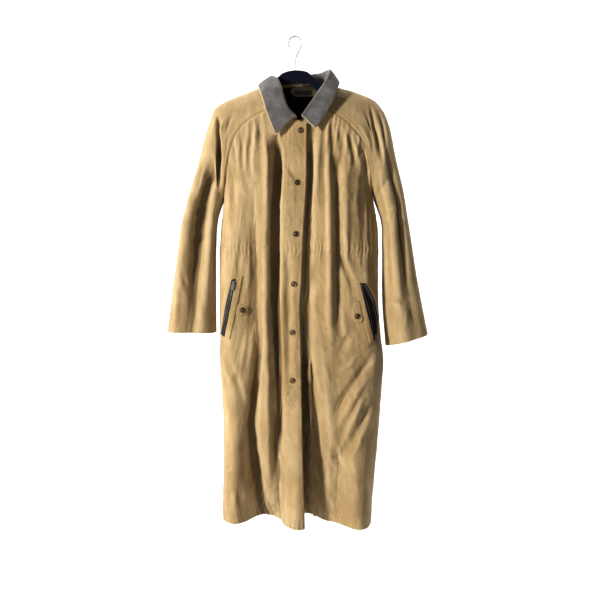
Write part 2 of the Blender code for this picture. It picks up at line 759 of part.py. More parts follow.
def cast(mesh, faces, x, z):
    """The point and facing of a piece's front behind a place in the front view, or None beside it."""
    corners = np.asarray(mesh.points)[np.asarray(faces)]
    a, b, c = corners[:, 0], corners[:, 1], corners[:, 2]
    det = (b[:, 0] - a[:, 0]) * (c[:, 2] - a[:, 2]) - (c[:, 0] - a[:, 0]) * (b[:, 2] - a[:, 2])
    det = np.where(np.abs(det) < 1e-9, np.inf, det)
    s = ((x - a[:, 0]) * (c[:, 2] - a[:, 2]) - (c[:, 0] - a[:, 0]) * (z - a[:, 2])) / det
    t = ((b[:, 0] - a[:, 0]) * (z - a[:, 2]) - (x - a[:, 0]) * (b[:, 2] - a[:, 2])) / det
    hit = (s > -1e-6) & (t > -1e-6) & (s + t < 1 + 1e-6) & np.isfinite(det)
    if not hit.any():
        return None
    y = np.where(hit, a[:, 1] + s * (b[:, 1] - a[:, 1]) + t * (c[:, 1] - a[:, 1]), np.inf)
    k = int(np.argmin(y))
    n = unit(np.cross(b[k] - a[k], c[k] - a[k]))
    return np.array([x, y[k], z]), (-n if n[1] > 0 else n)


def wire_object(name, path, radius, mat, collection):
    """A round wire along a path, with filled ends."""
    curve = bpy.data.curves.new(name, "CURVE")
    curve.dimensions = "3D"
    curve.bevel_depth = radius * MM
    curve.bevel_resolution = 2
    curve.use_fill_caps = True
    spline = curve.splines.new("POLY")
    spline.points.add(len(path) - 1)
    for point, place in zip(spline.points, path):
        point.co = (*(v * MM for v in place), 1.0)
    curve.materials.append(mat)
    obj = bpy.data.objects.new(name, curve)
    collection.objects.link(obj)
    return obj


def flat_object(name, outlines, thickness, place, mat, collection):
    """A flat outline with a thickness, put at its place. A second outline is a hole."""
    curve = bpy.data.curves.new(name, "CURVE")
    curve.dimensions = "2D"
    curve.fill_mode = "BOTH"
    curve.extrude = thickness / 2 * MM
    for outline in outlines:
        spline = curve.splines.new("POLY")
        spline.points.add(len(outline) - 1)
        spline.use_cyclic_u = True
        for point, (a, b) in zip(spline.points, outline):
            point.co = (a * MM, b * MM, 0.0, 1.0)
    curve.materials.append(mat)
    obj = bpy.data.objects.new(name, curve)
    obj.matrix_world = place
    collection.objects.link(obj)
    return obj


def turned_object(name, profile, steps, place, mat, collection):
    """A turned shape: a profile of radius and height, swept round its axis."""
    mesh = bpy.data.meshes.new(name)
    points = [(radius * MM, 0.0, height * MM) for radius, height in profile]
    mesh.from_pydata(points, [(i, i + 1) for i in range(len(points) - 1)], [])
    mesh.materials.append(mat)
    obj = bpy.data.objects.new(name, mesh)
    obj.matrix_world = place
    collection.objects.link(obj)
    screw = obj.modifiers.new("turn", "SCREW")
    screw.axis = "Z"
    screw.steps = steps
    screw.render_steps = steps
    screw.use_merge_vertices = True
    screw.merge_threshold = 0.0001
    screw.use_smooth_shade = True
    return obj


def placed(origin, first, second, third):
    """The place of an object from its origin and its three directions."""
    place = Matrix((first, second, third)).transposed().to_4x4()
    place.translation = Vector(origin) * MM
    return place


ROLL = 4.0
COLLAR_RIM = 3.0
# place round the neck, x, y, z of the fold line
COLLAR_FOLD = [
    (0.00, 3, -60, -213), (0.07, -13, -57, -197), (0.14, -26, -53, -172), (0.20, -36, -44, -137),
    (0.24, -45, -26, -113), (0.28, -58.5, -5, -102.5), (0.33, -56, 17, -103), (0.386, -42, 34, -100),
    (0.44, -17, 44, -96), (0.50, 14, 47, -93), (0.56, 46, 45, -89), (0.62, 70, 33, -88),
    (0.67, 84, 15, -85), (0.72, 91, -4, -86), (0.76, 91, -24, -95), (0.80, 83, -39, -115),
    (0.87, 57, -51, -155), (0.94, 33, -56, -190), (1.00, 17, -60, -213),
]
# place round the neck, x, y, z of the outer edge
COLLAR_EDGE = [
    (0.00, -50, -61, -263), (0.07, -63, -61, -232), (0.14, -77, -58, -196), (0.20, -88, -47, -160),
    (0.24, -95, -29, -140), (0.28, -99, -6, -127), (0.33, -94, 24, -131), (0.386, -70, 51, -143),
    (0.44, -32, 66, -151), (0.50, 12, 71, -153), (0.56, 56, 66, -148), (0.62, 91, 50, -137),
    (0.67, 111, 24, -125), (0.72, 118, -4, -121), (0.76, 117, -27, -127), (0.80, 111, -46, -141),
    (0.87, 97, -57, -180), (0.94, 76, -62, -214), (1.00, 52, -64, -248),
]
# place round the neck, piece, share of its edge
NECK_ORDER = [
    (0.00, "front_right", 0.90), (0.14, "front_right", 0.70), (0.14, "sleeve_right", 0.0),
    (0.386, "sleeve_right", 1.0), (0.386, "back", 0.37), (0.62, "back", 0.63),
    (0.62, "sleeve_left", 1.0), (0.87, "sleeve_left", 0.0), (0.87, "front_left", 0.70),
    (1.00, "front_left", 0.865),
]


def neckline(places, q):
    for (q0, piece, u0), (q1, other, u1) in zip(NECK_ORDER[:-1], NECK_ORDER[1:]):
        if piece == other and q0 <= q <= q1 + 1e-9:
            u = u0 + (u1 - u0) * (q - q0) / (q1 - q0)
            return places[piece](np.array(u), np.array(0.0))
    raise ValueError("no neckline there")


def collar_section(places, q):
    """Points of the collar's middle from the neckline up the stand, over the fold and down to the edge."""
    near = [neckline(places, min(max(q + step, 0.0), 1.0)) for step in (-0.03, 0.0, 0.03)]
    neck = (near[0] + 2 * near[1] + near[2]) / 4 if 0.03 < q < 0.97 else near[1]
    fold = smooth(COLLAR_FOLD, q)
    edge = smooth(COLLAR_EDGE, q)
    up = unit(unit(fold - neck) + unit(fold - edge))
    out = edge - neck
    out = unit(out - (out @ up) * up)
    middle = fold - up * ROLL
    start = neck + unit(fold - neck) * (1.9 + 1.7 * float(ease((0.12 - q) / 0.12)))
    inner = middle - out * ROLL
    outer = middle + out * ROLL
    points = [start, start + (inner - start) * 0.55 - out * 0.6]
    for angle in (180, 135, 90, 45, 0):
        a = math.radians(angle)
        points.append(middle + ROLL * (math.cos(a) * out + math.sin(a) * up))
    for t in (0.33, 0.67, 1.0):
        bow = math.sin(math.pi * t) * 1.6
        points.append(outer + (edge - outer) * t + out * bow)
    return np.array(points)


def collar_layers(places):
    """The cord collar and the canvas collar under it, from the same middle surface."""
    stops = [0.0, 0.05, 0.10, 0.14, 0.18, 0.21, 0.235, 0.26, 0.285, 0.31, 0.345, 0.386, 0.415, 0.445, 0.47,
             0.50,
             0.53, 0.56, 0.59, 0.62, 0.655, 0.69, 0.715, 0.74, 0.765, 0.79, 0.82, 0.87, 0.91, 0.955, 1.0]
    grid = np.array([collar_section(places, q) for q in stops])

    def toward(a, b):
        step = b - a
        return a + COLLAR_RIM * step / np.linalg.norm(step, axis=-1, keepdims=True)

    grid = np.insert(grid, -1, toward(grid[:, -1], grid[:, -2]), axis=1)
    first = toward(grid[0], grid[1])
    last = toward(grid[-1], grid[-2])
    grid = np.concatenate([grid[:1], first[None], grid[1:-1], last[None], grid[-1:]])
    along = np.gradient(grid, axis=0)
    across = np.gradient(grid, axis=1)
    n = np.cross(across, along)
    n /= np.linalg.norm(n, axis=2, keepdims=True)
    if n[len(grid) // 2, 4][2] < 0:
        n = -n

    def layer(points, facing_now, low, high):
        mesh = Mesh()
        top = [mesh.add(row) for row in points + facing_now * high]
        bottom = [mesh.add(row) for row in points + facing_now * low]
        at = list(range(points.shape[1]))
        for k in range(len(points) - 1):
            mesh.zip(top[k], at, top[k + 1], at)
            mesh.zip(bottom[k], at, bottom[k + 1], at)
        mesh.zip(top[0], at, bottom[0], at)
        mesh.zip(top[-1], at, bottom[-1], at)
        rows = list(range(len(points)))
        for end in (0, -1):
            mesh.zip([r[end] for r in top], rows, [r[end] for r in bottom], rows)
        return mesh
    return layer(grid[1:-1, :-1], n[1:-1, :-1], 0.15, 1.75), layer(grid, n, -1.55, -0.15)


SLEEVE_TOP = [0, 0.08, 0.16, 0.25, 0.34, 0.43, 0.52, 0.61, 0.70, 0.79, 0.87, 0.94, 1.0]
SLEEVE_LOW = [1.08, 1.2, 1.33, 1.46, 1.6, 1.74, 1.88, 2.0]
UPPER = [0, 0.07, 0.16, 0.28, 0.42, 0.57, 0.72, 0.86]
WAIST_ROWS = [WAIST_TOP, -550.0, -559.0, -568.0, WAIST_LOW]
LOWER = [1.13, 1.22, 1.32, 1.42, 1.52, 1.62, 1.72, 1.82, 1.91, 2.0]
PLACKET_AT = 0.75


def row_at(z):
    return 1 + (z - WAIST_TOP) / (HEM - WAIST_TOP)


def waves(places, count, start, end):
    t = np.clip((places - start) / (end - start), 0, 1)
    t = t + 0.35 / count * np.sin(2 * math.pi * t * 3.0)
    return 0.5 - 0.5 * np.cos(2 * math.pi * count * t)


def waist_window(r):
    z = WAIST_TOP + (HEM - WAIST_TOP) * (r - 1)
    return np.clip(1 - np.abs(z - (WAIST_TOP + WAIST_LOW) / 2) / 18.5, 0, 1) ** 0.7


def front_rise(side):
    """Gathers below the raglan seam and in the waist line, as height above the smooth cloth."""
    last = PLACKET_AT - 0.02 if side == "right" else 0.72

    def rise(u, r):
        count = WAIST_GATHERS_FRONT * (0.76 if side == "right" else 1.0)
        waist = waves(u, count, 0.05, 0.75 if side == "right" else 0.98) * waist_window(r) * ease(u / 0.08)
        if side == "right":
            waist = waist * (u < last)
        fans = RAGLAN_GATHERS[side]
        seam = waves(u, fans, 0.18, 0.70) * ease((u - 0.17) / 0.06) * ease((0.70 - u) / 0.03)
        seam = seam * ease(r / 0.025) * (1 - ease((r - 0.07) / 0.205)) * 1.25
        return GATHER * (waist + seam)
    return rise


def back_rise(u, r):
    puckers = waves(u, WAIST_GATHERS_BACK, 0.03, 0.97) * waist_window(r)
    return GATHER * puckers * ease(u / 0.05) * ease((1 - u) / 0.05)


def front_grid(side):
    """Rows, columns and the finer rows of a front."""
    seam = [round(SEAM_SHARE * (1 - s), 6) for s in reversed(SLEEVE_TOP)]
    base = seam + ([0.75, 0.81, 0.87, 0.93, 1.0] if side == "right" else [0.76, 0.82, 0.88, 0.94, 1.0])
    rows = UPPER + [row_at(WAIST_TOP), row_at(WAIST_LOW)] + LOWER
    fans = RAGLAN_GATHERS[side]
    gathered = [round(v, 6) for v in np.linspace(0.18, 0.685, fans * 3 + 1)]
    fine_top = [u for u in base if u < 0.16 or u > 0.69] + gathered
    fine_top.sort()
    if side == "right":
        fine_waist = [0.0, 0.025] + [round(v, 6) for v in np.linspace(0.05, 0.75, 13 * 3 + 1)]
        fine_waist += [round(v, 6) for v in np.linspace(0.75, 1.0, 13)][1:]
    else:
        puckered = [round(v, 6) for v in np.linspace(0.05, 0.985, WAIST_GATHERS_FRONT * 3 + 1)]
        fine_waist = [0.0, 0.025] + puckered + [1.0]
    fine = [(0.03, fine_top), (0.07, fine_top), (0.16, fine_top)]
    fine += [(row_at(z), fine_waist) for z in WAIST_ROWS[1:-1]]
    return rows, base, fine


def back_grid():
    seam = [round(0.37 * (1 - s), 6) for s in reversed(SLEEVE_TOP)]
    neck = [round(v, 6) for v in np.linspace(0.37, 0.63, 8)][1:-1]
    base = seam + neck + [round(1 - u, 6) for u in reversed(seam)]
    puckered = [round(v, 6) for v in np.linspace(0.03, 0.97, WAIST_GATHERS_BACK * 3 + 1)]
    waist = [0.0, 0.015] + puckered + [0.985, 1.0]
    rows = UPPER + [row_at(WAIST_TOP), row_at(WAIST_LOW)] + LOWER
    return rows, base, [(row_at(z), waist) for z in WAIST_ROWS[1:-1]]


# Outlines of the trims in x and z, seen from the front
WELTS = {
    "right": [(-156, -634), (-138, -630), (-174, -801), (-189.6, -796)],
    "left": [(161, -651), (173, -648), (211, -804), (200, -810)],
}
TABS = {
    "right": [
        (-153.6, -707), (-137, -706), (-127, -712), (-124, -721), (-128, -730), (-140, -736), (-159.4, -735),
    ],
    "left": [(158, -698), (171.6, -697), (182.6, -743), (180, -752), (168, -757), (154, -749), (152, -735)],
}
ZIPS = {
    "right": [(-169, -640), (-156.6, -636), (-190.2, -796), (-202, -790), (-188, -717)],
    "left": [(173.6, -649), (188, -649), (214, -700), (224, -745), (222, -798), (211.6, -803)],
}
LINING = [(-34, -123), (62, -118.5), (62, -262), (-34, -262)]
FACING = [
    (-14, -132), (-8, -125), (4, -121.5), (38, -120.5), (52, -124), (60, -137), (48, -147), (-3, -147),
]
LABEL = [(-4, -131), (46, -131), (46, -143.5), (-4, -143.5)]
SNAP_PLACES = [(14, -249), (6, -385), (2, -519), (-4, -650), (-6, -780), (-7, -911)]
TAB_SNAPS = {"right": (-140, -721), "left": (166, -737)}

# Zip sliders: pin point, direction down the zip, facing
SLIDERS = {
    "right": ((-163.5, -54.8, -648.0), (-0.20, 0.0, -0.98), (-0.08, -1.0, 0.10)),
    "left": ((218.5, -42.2, -792.8), (0.16, 0.0, -0.99), (0.61, -0.79, 0.12)),
}
PULL_WIDTH = 7.6
PULL_LENGTH = 19.0

# x, top and underside of the hanger, half thickness, for its right half; it hangs a little askew
HANGER = [
    (0, -86, -121, 6.0), (20, -88, -121, 6.0), (36, -94, -124, 6.0), (46, -103, -133, 6.0),
    (56, -112, -141, 6.0), (66, -120, -147, 6.0), (76, -128, -152, 5.8), (101, -136.5, -162, 5.5), (136, -148.5, -174, 5.2),
    (170, -161, -184, 5.0), (192, -171.5, -192, 4.6), (204, -181, -198, 4.0),
]
HANGER_TILT = 0.04
HOOK_WIRE = 1.5
HOOK_BEND = 17.5


def hanger_mesh():
    mesh = Mesh()
    rows = [(-x, t, b, h) for x, t, b, h in HANGER[:0:-1]] + HANGER
    rings = []
    for x, top, low, half in rows:
        top += x * HANGER_TILT
        low += x * HANGER_TILT
        c = 2.2
        ring = [
            (x, -half + c, top), (x, half - c, top), (x, half, top - c), (x, half, low + c),
            (x, half - c, low), (x, -half + c, low), (x, -half, low + c), (x, -half, top - c),
        ]
        rings.append(mesh.add(ring))
    for a, b in zip(rings[:-1], rings[1:]):
        for i in range(8):
            j = (i + 1) % 8
            mesh.faces.append((a[i], a[j], b[j]))
            mesh.faces.append((a[i], b[j], b[i]))
    for ring in (rings[0], rings[-1]):
        for i in range(1, 7):
            mesh.faces.append((ring[0], ring[i], ring[i + 1]))
    return mesh


def hook_path():
    stem = [(0, 0, -85.7), (0, 0, -72), (0.4, 0, -60), (2.6, 0, -51), (7.2, 0, -42.5), (12.4, 0, -34.0)]
    centre_z = HOOK_WIRE - HOOK_BEND
    bend = []
    for angle in range(-18, 214, 11):
        a = math.radians(angle)
        bend.append((HOOK_BEND * math.cos(a), 0, centre_z + HOOK_BEND * math.sin(a)))
    return stem + bend


def slider_frame(side):
    pin, down, face = (np.asarray(v, float) for v in SLIDERS[side])
    face = unit(face)
    down = unit(down - (down @ face) * face)
    return pin, down, face, np.cross(down, face)


# The slider from its side: base, post and the finger that the pull hangs from
SLIDER_OUTLINE = [
    (-5.0, -3.1), (6.5, -3.1), (6.5, -0.9), (-2.6, -0.9), (-2.6, 0.9), (2.6, 0.9), (2.6, 0.0),
    (3.6, 0.0), (3.6, 2.0), (-5.0, 2.0),
]
SLIDER_WIDTH = 4.8

# The pull: a plate with a window, whose upper bar lies in the slider's finger and is its axis
PULL_OUTLINE = [
    (-0.6, 0.8 - PULL_WIDTH / 2), (-0.6, PULL_WIDTH / 2 - 0.8), (0.2, PULL_WIDTH / 2),
    (PULL_LENGTH - 2, PULL_WIDTH / 2), (PULL_LENGTH, PULL_WIDTH / 2 - 2),
    (PULL_LENGTH, 2 - PULL_WIDTH / 2), (PULL_LENGTH - 2, -PULL_WIDTH / 2), (0.2, -PULL_WIDTH / 2),
]
PULL_WINDOW = [(0.6, -2.7), (0.6, 2.7), (4.6, 2.7), (4.6, -2.7)]
PULL_THICKNESS = 1.0


def make_zip_fittings(side, metal_of, collection):
    """The slider, and the pull that swings on it."""
    pin, down, face, across = slider_frame(side)
    name = "zip_slider_" + side
    place = placed(pin, down, face, across)
    flat_object(name, [SLIDER_OUTLINE], SLIDER_WIDTH, place, metal_of(name), collection)
    name = "zip_pull_" + side
    place = placed(pin, down, -across, face)
    flat_object(name, [PULL_OUTLINE, PULL_WINDOW], PULL_THICKNESS, place, metal_of(name), collection)


SNAP_PROFILE = [
    (0.0, SNAP_HEIGHT), (2.2, 2.3), (SNAP / 2 - 3.6, 1.9), (SNAP / 2 - 2.6, 2.5), (SNAP / 2 - 0.7, 1.9),
    (SNAP / 2, 0.7), (SNAP / 2 - 0.6, 0.0), (0.0, 0.0),
]


def make_snap(name, mesh, faces, x, z, mat, collection):
    """A snap's cap, set down on the piece that carries it."""
    point, n = cast(mesh, faces, x, z)
    near = []
    for k in range(12):
        a = 2 * math.pi * k / 12
        hit = cast(mesh, faces, x + SNAP / 2 * math.cos(a), z + SNAP / 2 * math.sin(a))
        if hit is not None:
            near.append(hit[0])
            n = n + hit[1] * 0.4
    n = unit(n)
    rise = max([0.0] + [float((q - point) @ n) for q in near])
    start = point + n * (rise + TRIM_LIFT)
    level = unit(np.cross(n, (0.0, 0.0, 1.0)))
    turned_object(name, SNAP_PROFILE, 12, placed(start, level, np.cross(n, level), n), mat, collection)


def material(name, colour, roughness, metallic=0.0):
    m = bpy.data.materials.new(name)
    m.use_nodes = True
    shader = m.node_tree.nodes["Principled BSDF"]
    shader.inputs["Base Color"].default_value = (*colour, 1.0)
    shader.inputs["Roughness"].default_value = roughness
    shader.inputs["Metallic"].default_value = metallic
    return m


def main():
    for old in list(bpy.data.objects):
        bpy.data.objects.remove(old, do_unlink=True)
    parts = bpy.data.collections.new("canvas_coat_on_hanger")
    bpy.context.scene.collection.children.link(parts)

    def own(name, colour, roughness, metallic=0.0):
        return material("mat_" + name, colour, roughness, metallic)

    canvas = (0.552, 0.352, 0.144)
    pale_canvas = (0.60, 0.44, 0.24)
    black = (0.012, 0.012, 0.014)
    brass = (0.11, 0.075, 0.04)

    places = {
        "front_right": front_surface("right")[0],
        "front_left": front_surface("left")[0],
        "back": back_surface()[0],
        "sleeve_right": sleeve_surface("right")[0],
        "sleeve_left": sleeve_surface("left")[0],
    }
    panels = {}
    for side in ("right", "left"):
        name = "front_" + side
        rows, columns, fine = front_grid(side)
        panels[name] = Panel(
            name, front_surface(side), rows, columns, fine, ("top", "start"), front_rise(side))
        name = "sleeve_" + side
        columns = [round(v, 6) for v in np.linspace(0, 1, 21)]
        panels[name] = Panel(
            name, sleeve_surface(side), SLEEVE_TOP + SLEEVE_LOW, columns, [], ("top", "start", "end"),
            None, 1.0)
    rows, columns, fine = back_grid()
    panels["back"] = Panel("back", back_surface(), rows, columns, fine, ("top", "start", "end"), back_rise)
    for panel in panels.values():
        panel.sew()
    for panel in panels.values():
        mesh = panel.build(CANVAS)
        make_object(panel.name, mesh, own(panel.name, canvas, 0.9), parts)

    # The placket lies on the overlapping front, over its last columns
    front = panels["front_right"]
    on_band = set()
    for (r, us), ids in zip(front.outside, front.outer):
        on_band.update(i for i, u in zip(ids, us) if u >= PLACKET_AT - 1e-6)
    band_faces = [f for f in front.mesh.faces[:front.outer_faces] if all(i in on_band for i in f)]

    def band_rise(points):
        t = np.clip((overlap_edge(points[:, 2]) - points[:, 0]) / PLACKET_WIDTH, 0, 1)
        z = points[:, 2]
        window = np.clip(1 - np.abs(z - (WAIST_TOP + WAIST_LOW) / 2) / 18.5, 0, 1) ** 0.7
        return GATHER * 0.8 * (0.5 - 0.5 * np.cos(2 * math.pi * 4 * t)) * window

    band = laid_on(front.mesh, band_faces, None, TRIM_LIFT, TRIM, band_rise, (0, -1, 0))
    make_object("placket", band, own("placket", canvas, 0.9), parts)
    band_top = band.faces[:2 * len(band_faces):2]

    for side in ("right", "left"):
        panel = panels["front_" + side]
        faces = panel.mesh.faces[:panel.outer_faces]
        for name, outline, colour in (
            ("pocket_welt_" + side, WELTS[side], canvas),
            ("pocket_zip_" + side, ZIPS[side], black),
        ):
            lift = TRIM_LIFT
            thick = TRIM if "welt" in name else 1.2
            piece = laid_on(panel.mesh, faces, outline, lift, thick, None, (0, -1, 0))
            make_object(name, piece, own(name, colour, 0.85), parts)
        tab = laid_on(panel.mesh, faces, TABS[side], TRIM_LIFT, 2.0, None, (0, -1, 0))
        make_object("pocket_tab_" + side, tab, own("pocket_tab_" + side, canvas, 0.9), parts)
        name = "tab_snap_" + side
        make_snap(name, tab, tab.faces, *TAB_SNAPS[side], own(name, brass, 0.4, 0.9), parts)
        make_zip_fittings(side, lambda name: own(name, (0.25, 0.25, 0.26), 0.35, 0.9), parts)

    for k, (x, z) in enumerate(SNAP_PLACES):
        name = f"front_snap_{k + 1}"
        make_snap(name, band, band_top, x, z, own(name, brass, 0.4, 0.9), parts)

    back = panels["back"]
    behind = back.mesh.faces[back.outer_faces:back.outer_faces + back.inner_faces]
    for name, outline, lift, thick, colour in (
        ("neck_lining", LINING, 0.3, 0.8, (0.012, 0.014, 0.025)),
        ("neck_facing", FACING, 1.4, 1.0, pale_canvas),
        ("neck_label", LABEL, 2.7, 0.6, (0.10, 0.10, 0.085)),
    ):
        piece = laid_on(back.mesh, behind, outline, lift, thick, None, (0, -1, 0))
        make_object(name, piece, own(name, colour, 0.85), parts)

    cord, canvas_layer = collar_layers(places)
    make_object("collar_top", cord, own("collar_top", (0.20, 0.18, 0.16), 0.9), parts)
    make_object("collar_under", canvas_layer, own("collar_under", pale_canvas, 0.9), parts)

    make_object("hanger", hanger_mesh(), own("hanger", (0.006, 0.008, 0.02), 0.95), parts)
    steel = own("hanger_hook", (0.75, 0.75, 0.75), 0.2, 1.0)
    wire_object("hanger_hook", hook_path(), HOOK_WIRE, steel, parts)


main()
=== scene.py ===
"""Looks of the long canvas coat on its hanger: cloth, stitching, fastenings, light and camera.

Sizes are in millimetres and are turned into metres when a mesh is made. X runs across the coat as it is
seen from the front, -Y is the front, +Z is up. The origin is the inside top of the hanger's hook. The
panels follow the same named sections, seams and folds as the solids, in finer rows, with the small
gathers, puckers and creases added along their own facings.
"""

import math

import bmesh
import bpy
import numpy as np
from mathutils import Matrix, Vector


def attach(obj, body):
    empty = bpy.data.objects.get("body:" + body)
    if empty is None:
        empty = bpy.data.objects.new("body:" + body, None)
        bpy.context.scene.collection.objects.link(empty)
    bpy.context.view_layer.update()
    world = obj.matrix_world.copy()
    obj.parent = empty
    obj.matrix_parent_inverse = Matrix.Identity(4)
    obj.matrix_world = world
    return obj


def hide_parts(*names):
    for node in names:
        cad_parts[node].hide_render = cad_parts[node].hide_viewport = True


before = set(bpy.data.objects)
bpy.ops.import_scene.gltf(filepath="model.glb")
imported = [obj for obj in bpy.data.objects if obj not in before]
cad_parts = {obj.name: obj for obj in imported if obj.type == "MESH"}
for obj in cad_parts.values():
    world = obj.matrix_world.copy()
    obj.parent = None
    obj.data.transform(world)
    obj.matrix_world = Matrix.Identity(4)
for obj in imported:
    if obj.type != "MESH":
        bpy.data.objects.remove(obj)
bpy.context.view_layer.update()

MM = 0.001
COAT = "coat"

# Cloth thickness and what lies on it
CANVAS = 1.9
TRIM_LIFT = 0.3
TRIM = 1.5

# Heights of the body
WAIST_TOP = -541.0
WAIST_LOW = -577.0
HEM = -1317.0

# Stitches: heights of the waist's two rows, and how far other rows lie from their edge
WAIST_STITCHES = (-551.0, -567.0)
HEM_STITCH = 27.0
CUFF_STITCH = 36.0
SLEEVE_STITCHES = (2.6, 9.0)
PLACKET_STITCHES = (3.0, 46.0, 51.0)

# Share of a front's width that is raglan seam, and shares that curl round to the side seam
SEAM_SHARE = 0.70
CURL_SHARE = 0.17
BACK_CURL_SHARE = 0.10
CURL = 44.0

# Shares of the back's width where its neckline starts and ends
NECK_START = 0.37
NECK_END = 0.63

# Size of a sleeve laid out flat: half round it, and for each step of place along
SLEEVE_ROUND = 110.0
SLEEVE_LONG = 380

# Front closing
PLACKET_WIDTH = 54.0
UNDERLAP = 60.0
UNDERLAP_DROP = 9.0

# height, right side seam, left side seam, depth of the side seam, depth of the front, depth of the back
BODY = np.array([
    (-150, -172, 190, 6, -44, 48),
    (-300, -184, 204, 9, -49, 54),
    (-428, -192, 213, 12, -52, 57),
    (-500, -201, 224, 14, -51, 58),
    (-560, -206, 227, 15, -50, 59),
    (-700, -207, 228, 15, -50, 61),
    (-800, -207, 236, 15, -50, 62),
    (-850, -208, 243, 15, -49, 62),
    (-953, -204, 239, 15, -47, 64),
    (-1036, -200, 234, 14, -45, 66),
    (-1113, -200, 228, 13, -43, 68),
    (-1234, -203, 218, 12, -38, 70),
    (-1330, -205, 213, 10, -35, 72),
], float)

# height, edge of the overlapping front
OVERLAP = np.array([
    (-225, 31), (-301, 31), (-383, 30), (-519, 22), (-648, 17), (-720, 13),
    (-781, 15), (-908, 17), (-1018, 19), (-1163, 22), (-1330, 27),
], float)

# Raglan seams and sleeve edges: place along the sleeve (0 neck, 1 underarm, 2 cuff), x, y, z
SEAM_FRONT = {
    "right": [
        (0.00, -50, -43, -180), (0.12, -83, -45, -199), (0.22, -112, -46, -215), (0.33, -139, -46, -236),
        (0.45, -161, -45, -270), (0.56, -172, -43, -304), (0.69, -180, -39, -344), (0.84, -186, -26, -388),
        (1.00, -192, 12, -428),
    ],
    "left": [
        (0.00, 62, -44, -176), (0.15, 104, -46, -202), (0.25, 128, -47, -218), (0.34, 147, -47, -236),
        (0.44, 168, -46, -260), (0.55, 185, -44, -291), (0.67, 194, -40, -330), (0.84, 204, -26, -384),
        (1.00, 213, 12, -428),
    ],
}
SEAM_BACK = {
    "right": [
        (0.00, -45, 44, -121), (0.25, -87, 50, -172), (0.50, -132, 53, -238), (0.70, -163, 50, -302),
        (0.86, -181, 38, -368), (1.00, -192, 12, -428),
    ],
    "left": [
        (0.00, 70, 44, -116), (0.25, 110, 50, -170), (0.50, 153, 53, -238), (0.70, 183, 50, -302),
        (0.86, 202, 38, -368), (1.00, 213, 12, -428),
    ],
}
SLEEVE_INNER = {
    "right": [
        (1.0, -192, 12, -428), (1.18, -209, 10, -480), (1.4, -215, 8, -560), (1.7, -217, 8, -690),
        (2.0, -217, 8, -788),
    ],
    "left": [
        (1.0, 213, 12, -428), (1.18, 233, 10, -484), (1.4, 237, 8, -560), (1.7, 239, 8, -700),
        (2.0, 249, 8, -824),
    ],
}
SLEEVE_OUTER = {
    "right": [
        (0.00, -76, 0, -124), (0.12, -101, 0, -135), (0.22, -130, 0, -146), (0.33, -162, 0, -158),
        (0.45, -192, 0, -172), (0.55, -215, 0, -188), (0.62, -222, 0, -206), (0.75, -233, 0, -240),
        (0.88, -246, 2, -283), (1.00, -258, 4, -328), (1.18, -279, 5, -405), (1.4, -301, 5, -487),
        (1.7, -327, 5, -640), (2.0, -349, 5, -785),
    ],
    "left": [
        (0.00, 95, 0, -121), (0.15, 118, 0, -132), (0.25, 150, 0, -140), (0.36, 182, 0, -152),
        (0.46, 206, 0, -163), (0.55, 222, 0, -176), (0.62, 235, 0, -194), (0.75, 250, 0, -230),
        (0.88, 262, 2, -280), (1.00, 273, 4, -328), (1.18, 292, 5, -405), (1.4, 307, 5, -490),
        (1.7, 333, 5, -645), (2.0, 364, 5, -793),
    ],
}
# place along the sleeve, belly of the front, belly of the back
SLEEVE_BELLY = [
    (0.0, 5, 5), (0.2, 12, 12), (0.45, 18, 18), (0.7, 24, 24), (0.85, 34, 34), (1.0, 44, 44), (1.2, 47, 47),
    (1.6, 46, 48), (2.0, 42, 46),
]

# Neckline of the fronts: share of the front's width, x, y, z
NECK_FRONT = {
    "right": [(0.70, -50, -43, -180), (0.80, -25, -47, -204), (0.90, 4, -51, -221), (1.00, 31, -53, -230)],
    "left": [
        (0.70, 62, -44, -176), (0.79, 40, -45, -200), (0.87, 18, -43, -217), (0.94, -8, -41, -226),
        (1.00, -29, -41, -229),
    ],
}
# Neckline of the back: x, y, z from one raglan seam to the other
NECK_BACK = [
    (0.0, -45, 44, -121), (0.25, -20, 49, -117), (0.5, 13, 51, -115), (0.75, 44, 49, -114),
    (1.0, 70, 44, -116),
]

